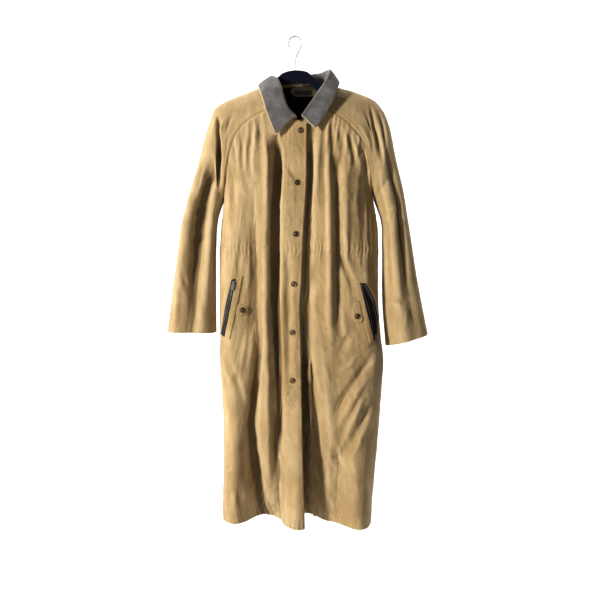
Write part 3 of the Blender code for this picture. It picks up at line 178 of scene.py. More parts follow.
# Folds of the cloth. Each has a name and rows of x, z, how far it stands out (in if negative), half width
FOLDS = {
    "front_right": {
        "beside the placket": [
            (-52, -262, 0, 8), (-50, -300, -10, 10), (-50, -357, -15, 11), (-63, -483, -14, 12),
            (-61, -693, -14, 12), (-46, -895, -11, 12), (-52, -1100, -15, 16), (-56, -1330, -26, 21),
        ],
        "breast ridge": [
            (-88, -262, 0, 14), (-88, -310, 6, 14), (-86, -560, 7, 15), (-86, -828, 9, 16),
            (-84, -1030, 8, 16), (-80, -1180, 0, 16),
        ],
        "skirt valley": [
            (-108, -470, 0, 12), (-107, -560, -9, 13), (-104, -734, -10, 14), (-97, -814, -8, 14),
            (-122, -1010, -15, 16), (-118, -1100, -26, 22), (-100, -1230, -48, 32), (-92, -1330, -66, 38),
        ],
        "pocket ridge": [
            (-150, -820, 0, 18), (-165, -900, 6, 20), (-168, -1100, 8, 20), (-165, -1330, 6, 22),
        ],
        "under the pocket": [
            (-172, -862, 0, 8), (-168, -882, -6, 8), (-158, -912, -5, 9), (-146, -950, 0, 9),
        ],
        "side valley": [(-176, -450, 0, 12), (-178, -560, -5, 12), (-180, -640, 0, 12)],
        "placket forward": [(6, -800, 0, 36), (8, -950, 6, 36), (8, -1100, 16, 36), (8, -1330, 42, 38)],
    },
    "front_left": {
        "beside the placket": [
            (44, -262, 0, 9), (46, -330, -6, 10), (42, -500, -8, 12), (40, -690, -8, 13), (40, -830, 0, 14),
        ],
        "recess": [
            (14, -700, 0, 28), (14, -830, -7, 32), (14, -950, -20, 40), (12, -1100, -41, 52),
            (8, -1330, -64, 64),
        ],
        "breast ridge": [(74, -250, 0, 12), (62, -320, 6, 13), (56, -400, 5, 13), (60, -500, 0, 13)],
        "second ridge": [
            (87, -262, 0, 12), (90, -400, 8, 14), (92, -560, 6, 14), (96, -760, 5, 16), (100, -900, 0, 18),
        ],
        "middle valley": [
            (110, -300, 0, 11), (110, -400, -8, 12), (114, -560, -7, 12), (118, -700, -6, 14),
            (120, -800, 0, 14),
        ],
        "third ridge": [(135, -280, 0, 12), (133, -380, 8, 14), (136, -520, 6, 14), (140, -600, 0, 14)],
        "side valley": [(176, -330, 0, 12), (182, -420, -10, 14), (186, -560, -9, 14), (190, -640, 0, 14)],
        "front crest": [
            (150, -760, 0, 30), (160, -900, 7, 32), (165, -1060, 16, 34), (170, -1200, 28, 36),
            (172, -1330, 44, 38),
        ],
        "long slant": [(214, -846, 0, 9), (180, -884, -8, 10), (130, -960, -9, 11), (96, -1024, 0, 11)],
        "low slant": [(220, -962, 0, 10), (190, -1006, -9, 11), (160, -1064, -8, 12), (130, -1126, 0, 12)],
        "under the pocket": [(222, -812, 0, 7), (206, -822, -5, 7), (190, -836, 0, 7)],
        "hem slant": [(128, -1040, 0, 12), (112, -1150, -8, 16), (104, -1330, -8, 20)],
    },
    "back": {
        "right valley": [
            (-118, -300, 0, 14), (-120, -420, -8, 16), (-118, -560, -8, 16), (-116, -800, -12, 20),
            (-112, -1100, -22, 24), (-108, -1330, -34, 28),
        ],
        "right ridge": [
            (-152, -560, 0, 20), (-156, -800, 8, 22), (-158, -1100, 14, 24), (-158, -1330, 22, 26),
        ],
        "inner right ridge": [
            (-62, -260, 0, 16), (-62, -420, 7, 18), (-62, -800, 9, 20), (-60, -1100, 14, 24),
            (-58, -1330, 20, 26),
        ],
        "middle valley": [
            (6, -300, 0, 14), (4, -480, -9, 16), (2, -800, -13, 20), (4, -1050, -12, 24),
            (6, -1330, -6, 28),
        ],
        "inner left ridge": [
            (70, -260, 0, 16), (70, -420, 7, 18), (70, -800, 10, 20), (72, -1100, 15, 24),
            (74, -1330, 22, 26),
        ],
        "left valley": [
            (128, -300, 0, 14), (130, -420, -8, 16), (128, -560, -8, 16), (130, -800, -12, 20),
            (124, -1100, -20, 24), (120, -1330, -32, 28),
        ],
        "left ridge": [(172, -560, 0, 20), (178, -800, 8, 22), (176, -1100, 12, 24), (170, -1330, 20, 26)],
    },
}
# Folds of the sleeves: place along, place round (0 inner, 1 outer edge, 2 inner again), out, half width in mm
SLEEVE_FOLDS = {
    "right": {
        "drop from the hanger": [
            (0.52, 0.86, 0, 8), (0.60, 0.62, -11, 9), (0.72, 0.36, -13, 10), (0.86, 0.20, -8, 10),
            (1.0, 0.16, 0, 12),
        ],
        "short fold": [(0.38, 0.50, 0, 7), (0.45, 0.42, -6, 7), (0.53, 0.30, 0, 7)],
        "sleeve front": [
            (0.80, 0.52, 0, 16), (1.10, 0.47, -13, 17), (1.50, 0.46, -17, 18), (1.85, 0.48, -13, 19),
            (2.05, 0.50, -9, 20),
        ],
        "outer ridge": [(0.85, 0.80, 0, 14), (1.20, 0.82, 5, 14), (1.70, 0.84, 5, 14), (2.05, 0.86, 3, 14)],
        "elbow": [(1.36, 0.30, 0, 8), (1.42, 0.50, -5, 8), (1.46, 0.70, 0, 8)],
        "sleeve back": [
            (0.70, 1.40, 0, 16), (1.10, 1.46, -10, 17), (1.60, 1.48, -14, 18), (2.05, 1.50, -8, 20),
        ],
        "back drop": [(0.50, 1.20, 0, 8), (0.64, 1.50, -9, 9), (0.80, 1.70, 0, 9)],
    },
    "left": {
        "drop from the hanger": [
            (0.44, 0.82, 0, 8), (0.56, 0.56, -10, 9), (0.70, 0.48, -10, 9), (0.88, 0.52, 0, 9),
        ],
        "outer fold": [(0.56, 0.84, 0, 7), (0.70, 0.76, -6, 7), (0.82, 0.72, 0, 7)],
        "sleeve ridge": [
            (0.80, 0.50, 0, 14), (1.20, 0.44, 6, 15), (1.60, 0.42, 6, 16), (2.05, 0.44, 4, 16),
        ],
        "outer valley": [
            (1.00, 0.72, 0, 12), (1.40, 0.70, -6, 13), (1.80, 0.70, -5, 14), (2.05, 0.70, -2, 14),
        ],
        "elbow": [(1.56, 0.04, 0, 7), (1.60, 0.20, -5, 7), (1.64, 0.36, 0, 7)],
        "sleeve back": [
            (0.70, 1.40, 0, 16), (1.10, 1.46, -10, 17), (1.60, 1.48, -14, 18), (2.05, 1.50, -8, 20),
        ],
        "back drop": [(0.50, 1.20, 0, 8), (0.64, 1.50, -9, 9), (0.80, 1.70, 0, 9)],
    },
}


# Curves and sections

def unit(v):
    return v / max(np.linalg.norm(v), 1e-9)


def smooth(rows, at):
    """Columns 1.. of the rows at places given in column 0, on a smooth curve through them."""
    table = np.asarray(rows, float)
    knots = table[:, 0]
    values = table[:, 1:]
    if knots[0] > knots[-1]:
        knots = knots[::-1]
        values = values[::-1]
    at = np.asarray(at, float)
    slope = np.gradient(values, knots, axis=0)
    i = np.clip(np.searchsorted(knots, at) - 1, 0, len(knots) - 2)
    span = knots[i + 1] - knots[i]
    t = np.clip((at - knots[i]) / span, 0, 1)[..., None]
    span = span[..., None]
    a = values[i] * (1 + 2 * t) * (1 - t) ** 2 + values[i + 1] * t * t * (3 - 2 * t)
    b = slope[i] * t * (1 - t) ** 2 - slope[i + 1] * t * t * (1 - t)
    return a + b * span


def ease(t):
    """From 0 to 1 without a kink."""
    t = np.clip(t, 0, 1)
    return t * t * (3 - 2 * t)


def fold_height(folds, x, z):
    """How far the folds together lift the cloth at places x, z."""
    lift = np.zeros(np.shape(x))
    for rows in folds.values():
        table = np.asarray(rows, float)
        nearest = np.full(np.shape(x), np.inf)
        depth = np.zeros(np.shape(x))
        width = np.ones(np.shape(x))
        for a, b in zip(table[:-1], table[1:]):
            run = b[:2] - a[:2]
            t = ((x - a[0]) * run[0] + (z - a[1]) * run[1]) / (run @ run)
            t = np.clip(t, 0, 1)
            away = np.hypot(x - a[0] - t * run[0], z - a[1] - t * run[1])
            closer = away < nearest
            nearest = np.where(closer, away, nearest)
            depth = np.where(closer, a[2] + (b[2] - a[2]) * t, depth)
            width = np.where(closer, a[3] + (b[3] - a[3]) * t, width)
        lift += depth * np.exp(-(nearest / width) ** 2)
    return lift


def slopes(place, u, r):
    """The two directions of a surface at its places."""
    e = 1e-3
    du = place(np.clip(u + e, 0, 1), r) - place(np.clip(u - e, 0, 1), r)
    dr = place(u, r + e) - place(u, r - e)
    return du, dr


def facing(place, sign, u, r):
    """The outward direction of a surface at its places."""
    du, dr = slopes(place, u, r)
    n = np.cross(du, dr) * sign
    return n / np.maximum(np.linalg.norm(n, axis=-1, keepdims=True), 1e-12)


def turned_out(place, towards):
    """1 or -1: which turn makes a surface face away from the inside of its piece."""
    u, r = np.meshgrid(np.linspace(0.2, 0.8, 9), np.linspace(0.3, 1.9, 9))
    return 1 if (facing(place, 1, u, r) * towards(place(u, r))).sum() > 0 else -1


def to_front(p):
    return np.broadcast_to((0.0, -1.0, 0.0), p.shape)


def to_back(p):
    return np.broadcast_to((0.0, 1.0, 0.0), p.shape)


def from_sleeve_axis(p):
    return p - p.mean(axis=1, keepdims=True)


def body_at(z):
    """Side seams, seam depth, front depth and back depth at a height."""
    return np.moveaxis(smooth(BODY, z), -1, 0)


def overlap_edge(z):
    return smooth(OVERLAP, z)[..., 0]


def front_section(side, u, z):
    """One front's level section: from the side seam (0) round the curl and across to its edge (1)."""
    right_x, left_x, seam_y, front_y, _ = body_at(z)
    edge = overlap_edge(z)
    if side == "right":
        seam_x = right_x
        end_x = edge
        curl = CURL
    else:
        seam_x = left_x
        end_x = edge - UNDERLAP
        curl = -CURL
    turn = np.clip(u / CURL_SHARE, 0, 1) * math.pi / 2
    across = np.clip((u - CURL_SHARE) / (1 - CURL_SHARE), 0, 1)
    x = seam_x + curl * (1 - np.cos(turn)) + (end_x - seam_x - curl) * across
    y = seam_y + (front_y - seam_y) * np.sin(turn)
    if side == "left":
        y = y + UNDERLAP_DROP * ease((edge + 16 - x) / (14 + 40 * ease((-900 - z) / 300)))
    else:
        y = y - 4.0 * ease((x - edge + PLACKET_WIDTH + 24) / 24)
    return x, y


def front_top(side, u):
    """The upper edge of a front: up the raglan seam, then along the neckline."""
    seam = smooth(SEAM_FRONT[side], np.clip(1 - u / SEAM_SHARE, 0, 1))
    neck = smooth(NECK_FRONT[side], u)
    return np.where((u < SEAM_SHARE)[..., None], seam, neck)


def front_height(top_z, r):
    upper = top_z + (WAIST_TOP - top_z) * np.clip(r, 0, 1)
    return upper + (HEM - WAIST_TOP) * np.clip(r - 1, 0, 1)


def front_base(side):
    """A front without its folds. u runs from the side seam to the front edge, r from the top (0) by the
    waist (1) to the hem (2)."""
    def place(u, r):
        u, r = np.broadcast_arrays(np.asarray(u, float), np.asarray(r, float))
        top = front_top(side, u)
        z = front_height(top[..., 2], r)
        x, y = front_section(side, u, z)
        x_top, y_top = front_section(side, u, top[..., 2])
        fade = np.clip(1 - r, 0, 1) ** 1.5
        return np.stack([x + (top[..., 0] - x_top) * fade, y + (top[..., 1] - y_top) * fade, z], axis=-1)
    return place


def folded(base, towards, height):
    """A surface with its folds: its base, lifted along its own facing."""
    sign = turned_out(base, towards)

    def place(u, r):
        u, r = np.broadcast_arrays(np.asarray(u, float), np.asarray(r, float))
        p = base(u, r)
        return p + facing(base, sign, u, r) * height(p, u, r)[..., None]
    return place, sign


def front_surface(side):
    def height(p, u, r):
        lift = fold_height(FOLDS["front_" + side], p[..., 0], p[..., 2])
        return lift * ease(r / 0.25) * ease(u / CURL_SHARE)
    return folded(front_base(side), to_front, height)


def back_top(u):
    """The upper edge of the back: up one raglan seam, along the neckline and down the other seam."""
    right = smooth(SEAM_BACK["right"], np.clip(1 - u / NECK_START, 0, 1))
    left = smooth(SEAM_BACK["left"], np.clip(1 - (1 - u) / NECK_START, 0, 1))
    neck = smooth(NECK_BACK, np.clip((u - NECK_START) / (NECK_END - NECK_START), 0, 1))
    out = np.where((u < NECK_START)[..., None], right, neck)
    return np.where((u > NECK_END)[..., None], left, out)


def back_section(u, z):
    """The back's level section: from the right side seam round the curl and across to the left side seam."""
    right_x, left_x, seam_y, _, back_y = body_at(z)
    share = BACK_CURL_SHARE
    turn_right = np.clip(u / share, 0, 1) * math.pi / 2
    turn_left = np.clip((1 - u) / share, 0, 1) * math.pi / 2
    across = np.clip((u - share) / (1 - 2 * share), 0, 1)
    inner_right = right_x + CURL
    inner_left = left_x - CURL
    x = inner_right + (inner_left - inner_right) * across
    x = np.where(u < share, right_x + CURL * (1 - np.cos(turn_right)), x)
    x = np.where(u > 1 - share, left_x - CURL * (1 - np.cos(turn_left)), x)
    y = seam_y + (back_y - seam_y) * np.sin(turn_right) * np.sin(turn_left)
    return x, y


def back_base(u, r):
    """The back without its folds. u runs from the right side seam to the left one."""
    u, r = np.broadcast_arrays(np.asarray(u, float), np.asarray(r, float))
    top = back_top(u)
    z = front_height(top[..., 2], r)
    x, y = back_section(u, z)
    x_top, y_top = back_section(u, top[..., 2])
    fade = np.clip(1 - r, 0, 1) ** 1.5
    return np.stack([x + (top[..., 0] - x_top) * fade, y + (top[..., 1] - y_top) * fade, z], axis=-1)


def back_surface():
    def height(p, u, r):
        lift = fold_height(FOLDS["back"], p[..., 0], p[..., 2])
        return lift * ease(r / 0.25) * ease(u / 0.1) * ease((1 - u) / 0.1)
    return folded(back_base, to_back, height)


def sleeve_turn(u):
    """The angle round half a sleeve's section, from its inner edge to its inner edge again."""
    return np.where(u <= 0.5, u, 1 - u) * 2 * math.pi


def section_share(u, r):
    """Share of the way across a sleeve's section. Above the underarm the section is open along its seams."""
    turn = sleeve_turn(u)
    is_open = 1 - ease((r - 0.75) / 0.25)
    return (1 - np.cos(turn)) / 2 * (1 - is_open) + np.sin(turn / 2) * is_open


def place_round(u, r):
    """Place round a sleeve: 0 inner edge, 1 outer edge, 2 inner edge again."""
    share = section_share(u, r)
    return np.where(u <= 0.5, share, 2 - share)


def sleeve_rows(folds):
    """Sleeve folds as rows of x, z, out and half width on the sleeve laid out flat."""
    def laid_flat(along, around, out, half):
        return around * SLEEVE_ROUND, along * SLEEVE_LONG, out, half
    return {name: [laid_flat(*row) for row in rows] for name, rows in folds.items()}


def sleeve_base(side):
    """A sleeve without its folds. u runs from the front edge (0) over the outer one (0.5) to the back (1)."""
    def place(u, r):
        u, r = np.broadcast_arrays(np.asarray(u, float), np.asarray(r, float))
        inner = smooth(SLEEVE_INNER[side], r)
        above = (r < 1)[..., None]
        front = np.where(above, smooth(SEAM_FRONT[side], r), inner)
        back = np.where(above, smooth(SEAM_BACK[side], r), inner)
        outer = smooth(SLEEVE_OUTER[side], r)
        belly = smooth(SLEEVE_BELLY, r)
        on_front = (u <= 0.5)[..., None]
        start = np.where(on_front, front, back)
        p = start + (outer - start) * section_share(u, r)[..., None]
        fullness = np.maximum(np.sin(sleeve_turn(u)), 0) ** 0.85
        p[..., 1] += np.where(u <= 0.5, -belly[..., 0], belly[..., 1]) * fullness
        return p
    return place


def sleeve_surface(side):
    folds = sleeve_rows(SLEEVE_FOLDS[side])

    def height(p, u, r):
        lift = fold_height(folds, place_round(u, r) * SLEEVE_ROUND, r * SLEEVE_LONG)
        return lift * ease(np.minimum(u, 1 - u) / 0.10) * ease(r / 0.2)
    return folded(sleeve_base(side), from_sleeve_axis, height)


# Collar

ROLL = 4.0
WALE = 2.4
WALE_HEIGHT = 0.45
# place round the neck, x, y, z of the fold line
COLLAR_FOLD = [
    (0.00, 3, -60, -213), (0.07, -13, -57, -197), (0.14, -26, -53, -172), (0.20, -36, -44, -137),
    (0.24, -45, -26, -113), (0.28, -58.5, -5, -102.5), (0.33, -56, 17, -103), (0.386, -42, 34, -100),
    (0.44, -17, 44, -96), (0.50, 14, 47, -93), (0.56, 46, 45, -89), (0.62, 70, 33, -88),
    (0.67, 84, 15, -85), (0.72, 91, -4, -86), (0.76, 91, -24, -95), (0.80, 83, -39, -115),
    (0.87, 57, -51, -155), (0.94, 33, -56, -190), (1.00, 17, -60, -213),
]
# place round the neck, x, y, z of the outer edge
COLLAR_EDGE = [
    (0.00, -50, -61, -263), (0.07, -63, -61, -232), (0.14, -77, -58, -196), (0.20, -88, -47, -160),
    (0.24, -95, -29, -140), (0.28, -99, -6, -127), (0.33, -94, 24, -131), (0.386, -70, 51, -143),
    (0.44, -32, 66, -151), (0.50, 12, 71, -153), (0.56, 56, 66, -148), (0.62, 91, 50, -137),
    (0.67, 111, 24, -125), (0.72, 118, -4, -121), (0.76, 117, -27, -127), (0.80, 111, -46, -141),
    (0.87, 97, -57, -180), (0.94, 76, -62, -214), (1.00, 52, -64, -248),
]
# place round the neck, piece, share of its edge
NECK_ORDER = [
    (0.00, "front_right", 0.90), (0.14, "front_right", 0.70), (0.14, "sleeve_right", 0.0),
    (0.386, "sleeve_right", 1.0), (0.386, "back", 0.37), (0.62, "back", 0.63), (0.62, "sleeve_left", 1.0),
    (0.87, "sleeve_left", 0.0), (0.87, "front_left", 0.70), (1.00, "front_left", 0.865),
]


def neckline(places, q):
    for (q0, piece, u0), (q1, other, u1) in zip(NECK_ORDER[:-1], NECK_ORDER[1:]):
        if piece == other and q0 <= q <= q1 + 1e-9:
            u = u0 + (u1 - u0) * (q - q0) / (q1 - q0)
            return places[piece](np.array(u), np.array(0.0))
    raise ValueError("no neckline there")


def collar_section(places, q):
    """Points of the collar's middle from the neckline up the stand, over the fold and down to the edge."""
    near = [neckline(places, min(max(q + step, 0.0), 1.0)) for step in (-0.03, 0.0, 0.03)]
    neck = (near[0] + 2 * near[1] + near[2]) / 4 if 0.03 < q < 0.97 else near[1]
    fold = smooth(COLLAR_FOLD, q)
    edge = smooth(COLLAR_EDGE, q)
    up = unit(unit(fold - neck) + unit(fold - edge))
    out = edge - neck
    out = unit(out - (out @ up) * up)
    middle = fold - up * ROLL
    start = neck + unit(fold - neck) * (1.9 + 1.7 * float(ease((0.12 - q) / 0.12)))
    inner = middle - out * ROLL
    outer = middle + out * ROLL
    points = [start, start + (inner - start) * 0.55 - out * 0.6]
    for angle in (180, 135, 90, 45, 0):
        a = math.radians(angle)
        points.append(middle + ROLL * (math.cos(a) * out + math.sin(a) * up))
    for t in (0.33, 0.67, 1.0):
        bow = math.sin(math.pi * t) * 1.6
        points.append(outer + (edge - outer) * t + out * bow)
    return np.array(points)


# Cloth grids

def grain(x, y, seed):
    """Soft noise from 0 to 1 with cells one unit wide."""
    xi = np.floor(x)
    yi = np.floor(y)

    def corner(i, j):
        h = np.sin(i * 127.1 + j * 311.7 + seed * 74.7) * 43758.5453
        return h - np.floor(h)

    fx = ease(x - xi)
    fy = ease(y - yi)
    low = corner(xi, yi) * (1 - fx) + corner(xi + 1, yi) * fx
    high = corner(xi, yi + 1) * (1 - fx) + corner(xi + 1, yi + 1) * fx
    return low * (1 - fy) + high * fy


def swell(x, y, seed):
    """Noise of two sizes, from about -1 to 1."""
    return (grain(x, y, seed) + 0.5 * grain(x * 2.1, y * 2.1, seed + 3) - 0.75) / 0.75


def pleats(s, pitch, seed, sharp=1.6):
    """Uneven gathers along a seam, from 0 to 1, about one for each pitch of its length."""
    drift = 0.9 * (grain(s / (pitch * 2.3), 0 * s, seed) - 0.5)
    height = 0.35 + 0.65 * grain(s / pitch, 0 * s + 5, seed + 1)
    wave = 0.5 - 0.5 * np.cos(2 * math.pi * (s / pitch + drift))
    return height * wave ** sharp


def to_line(points, line):
    """Distance from each point to a line of points, and how far along the line the nearest place is."""
    flat = points.reshape(-1, 3)
    best = np.full(len(flat), 1e9)
    along = np.zeros(len(flat))
    start = 0.0
    for a, b in zip(line[:-1], line[1:]):
        run = b - a
        length = max(float(np.linalg.norm(run)), 1e-6)
        t = np.clip(((flat - a) @ run) / length ** 2, 0, 1)
        away = np.linalg.norm(flat - a - t[:, None] * run, axis=1)
        closer = away < best
        best = np.where(closer, away, best)
        along = np.where(closer, start + t * length, along)
        start += length
    return best.reshape(points.shape[:-1]), along.reshape(points.shape[:-1])


def below_waist(z):
    """Place down a panel, from 1 at the waist to 2 at the hem, of a height."""
    return 1 + (z - WAIST_TOP) / (HEM - WAIST_TOP)


class Cloth:
    """A panel as a fine grid of outer points with their facings."""

    def __init__(self, surface, us, rs, closed_from=None):
        place, self.sign = surface
        self.us = np.asarray(us, float)
        self.rs = np.asarray(rs, float)
        self.u, self.r = np.meshgrid(self.us, self.rs)
        self.p = place(self.u, self.r)
        self.closed_from = closed_from
        self.flat = self.p.copy()
        self.rise = np.zeros(self.u.shape)
        self.measure()

    def measure(self):
        along = np.gradient(self.p, axis=0)
        across = np.gradient(self.p, axis=1)
        n = np.cross(across, along) * self.sign
        if self.closed_from is not None:
            shut = self.rs >= self.closed_from
            both = n[shut, 0] + n[shut, -1]
            n[shut, 0] = both
            n[shut, -1] = both
        self.n = n / np.maximum(np.linalg.norm(n, axis=-1, keepdims=True), 1e-9)
        step = np.linalg.norm(np.diff(self.p, axis=1), axis=-1)
        self.across = np.concatenate([np.zeros((len(self.rs), 1)), np.cumsum(step, axis=1)], axis=1)
        step = np.linalg.norm(np.diff(self.p, axis=0), axis=-1)
        self.down = np.concatenate([np.zeros((1, len(self.us))), np.cumsum(step, axis=0)], axis=0)

    def edge(self, which):
        flat = self.flat
        return {"top": flat[0], "hem": flat[-1], "start": flat[:, 0], "end": flat[:, -1]}[which]

    def lift(self, height):
        self.rise = self.rise + height

    def settle(self):
        self.p = self.flat + self.n * self.rise[..., None]
        self.measure()

    def at(self, u, r):
        """Points and facings between the grid's own."""
        u, r = np.broadcast_arrays(np.asarray(u, float), np.asarray(r, float))
        i = np.clip(np.searchsorted(self.rs, r) - 1, 0, len(self.rs) - 2)
        j = np.clip(np.searchsorted(self.us, u) - 1, 0, len(self.us) - 2)
        a = np.clip((r - self.rs[i]) / (self.rs[i + 1] - self.rs[i]), 0, 1)[..., None]
        b = np.clip((u - self.us[j]) / (self.us[j + 1] - self.us[j]), 0, 1)[..., None]
        out = []
        for v in (self.p, self.n):
            low = v[i, j] * (1 - b) + v[i, j + 1] * b
            high = v[i + 1, j] * (1 - b) + v[i + 1, j + 1] * b
            out.append(low * (1 - a) + high * a)
        out[1] = out[1] / np.linalg.norm(out[1], axis=-1, keepdims=True)
        return out

    def under(self, x, z):
        """Place u, r of the cloth seen at x, z below the waist."""
        x, z = np.broadcast_arrays(np.asarray(x, float), np.asarray(z, float))
        r = below_waist(z)
        u = np.zeros(x.shape)
        for k in np.ndindex(x.shape):
            i = int(np.clip(np.searchsorted(self.rs, r[k]) - 1, 0, len(self.rs) - 2))
            row = self.p[i, :, 0]
            order = np.argsort(row)
            u[k] = np.interp(x[k], row[order], self.us[order])
        return u, r


def quads_of(index):
    """Quads over a grid of point numbers."""
    corners = [index[:-1, :-1], index[:-1, 1:], index[1:, 1:], index[1:, :-1]]
    return np.stack(corners, axis=-1).reshape(-1, 4)


def new_mesh(name, points, quads, uv, **shades):
    """A smooth mesh of points in millimetres, with its cloth coordinates in metres and its named shades."""
    mesh = bpy.data.meshes.new(name)
    mesh.from_pydata((points * MM).tolist(), [], quads.tolist())
    layer = mesh.uv_layers.new(name="Cloth")
    loops = np.zeros(len(mesh.loops), dtype=np.int32)
    mesh.loops.foreach_get("vertex_index", loops)
    layer.data.foreach_set("uv", uv[loops].ravel())
    for kind, values in shades.items():
        shade = mesh.attributes.new(kind, "FLOAT", "POINT")
        shade.data.foreach_set("value", values.astype(np.float32))
    mesh.shade_smooth()
    return mesh


def grid_mesh(name, points, loop=False):
    """A mesh of quads over a grid of points, closed round if it is a loop."""
    rows, columns = points.shape[:2]
    index = np.arange(rows * columns).reshape(rows, columns)
    if loop:
        index = np.concatenate([index, index[:, :1]], axis=1)
    return new_mesh(name, points.reshape(-1, 3), quads_of(index), np.zeros((rows * columns, 2)))


# How far to each side a hollow is looked for, and the depth that counts as full, for panels and for sleeves;
# the depth sets painted shade in the hollow places.
HOLLOW_SHADE_SIZES = ((34.0, 9.5), (46.0, 3.6))


def hollow_shade(cloth, reach, full):
    """How deep each place lies below the cloth on both sides of it, from 0 to 1; it sets the painted shade
    there.
    """
    deep = np.zeros(cloth.u.shape)
    rows = np.arange(len(cloth.rs))[:, None]
    for distance in (0.45 * reach, 0.75 * reach, reach):
        sides = []
        for way in (-1, 1):
            at = np.empty(cloth.u.shape, int)
            for i in range(len(cloth.rs)):
                at[i] = np.searchsorted(cloth.across[i], cloth.across[i] + way * distance)
            at = np.clip(at, 0, len(cloth.us) - 1)
            sides.append(((cloth.p[rows, at] - cloth.p) * cloth.n).sum(axis=-1))
        deep = np.maximum(deep, np.minimum(sides[0], sides[1]))
    return np.clip(deep / full, 0, 1)


def shell(name, outer, inner, uv, wear, material, flip, hollow=None):
    """A closed thin shell between an outer and an inner grid."""
    rows, columns = outer.shape[:2]
    count = rows * columns
    index = np.arange(count).reshape(rows, columns)
    front = quads_of(index)
    quads = [front, front[:, ::-1] + count]
    for line in (index[0, ::-1], index[-1], index[:, 0], index[::-1, -1]):
        a = line[:-1]
        b = line[1:]
        quads.append(np.stack([a, b, b + count, a + count], axis=-1))
    quads = np.concatenate(quads)
    if flip:
        quads = quads[:, ::-1]
    # Shades on the outer points: the worn colour on crests with painted shade in creases, and the depth that
    # sets painted shade in hollow places
    shades = {"wear": wear}
    if hollow is not None:
        shades["hollow"] = hollow
    for kind, outside in shades.items():
        shades[kind] = np.concatenate([outside.ravel(), np.zeros(count)])
    points = np.concatenate([outer.reshape(-1, 3), inner.reshape(-1, 3)])
    mesh = new_mesh(name, points, quads, np.concatenate([uv.reshape(-1, 2)] * 2), **shades)
    mesh.set_sharp_from_angle(angle=math.radians(70))
    return add_piece(name, mesh, material)


def add_piece(name, mesh, material, body=COAT):
    piece = bpy.data.objects.new(name, mesh)
    bpy.context.scene.collection.objects.link(piece)
    mesh.materials.append(material)
    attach(piece, body)
    return piece


def cloth_piece(cloth, name, node):
    """A panel's canvas shell, worn on its crests, with painted shade in its creases and in its hollow places.
    """
    inner = cloth.p - cloth.n * CANVAS
    uv = np.stack([cloth.across, cloth.down], axis=-1) * MM
    # Rise above the nearby cloth: positive gives the worn colour on crests, negative gives painted shade in
    # creases
    bend = cloth.rise - (np.roll(cloth.rise, 6, 1) + np.roll(cloth.rise, -6, 1)) / 2
    wear = np.clip(bend / 1.2, -1, 1)
    # Depth of each hollow place, for the painted shade there
    hollow = hollow_shade(cloth, *HOLLOW_SHADE_SIZES["sleeve" in name])
    piece = shell(name, cloth.p, inner, uv, wear, LOOKS["canvas"], cloth.sign < 0, hollow)
    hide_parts(node)
    return piece


# Panels with their gathers, puckers and creases

def seam_line(cloth, u0, u1, count=60):
    """Points of the panel's top edge between two shares of its width."""
    u = np.linspace(u0, u1, count)
    p, _ = cloth.at(u, np.zeros(count))
    return p


def groove(away, depth, width):
    return -depth * np.exp(-(away / width) ** 2)


def sewn(cloth, line, rows=(), pucker=0.5, seed=1, reach=13.0, pitch=8.5, dip=1.3):
    """Turns a sewn edge in, sinks its rows of stitches and puckers the cloth beside it."""
    away, along = to_line(cloth.flat, line)
    height = groove(away, dip, 2.3)
    for row in rows:
        height = height + groove(away - row, 0.45, 1.1)
    wave = pleats(along, pitch, seed) - 0.4
    height = height + pucker * wave * np.exp(-(away / reach) ** 2) * ease(away / 2.5)
    cloth.lift(height)
    return away


def drape(cloth, seed, across=40.0, down=150.0, amount=1.7, fine=0.6):
    """Soft unevenness of hanging cloth, longer than it is wide."""
    x = cloth.across
    z = cloth.down
    slant = x + 0.35 * z
    cloth.lift(amount * swell(x / across, z / down, seed) + fine * swell(x / 13.0, z / 30.0, seed + 7))
    pinch = 1 - np.abs(2 * grain(slant / 30.0, z / 58.0, seed + 9) - 1)
    cloth.lift(0.9 * np.clip((pinch - 0.78) / 0.22, 0, 1) ** 2)


def crease_height(rows, x, z, seed):
    """Creases in rows of x, z, height, half width, with a little unevenness along them."""
    lift = fold_height(rows, x, z)
    return lift * (0.75 + 0.5 * grain(x / 23.0, z / 31.0, seed))
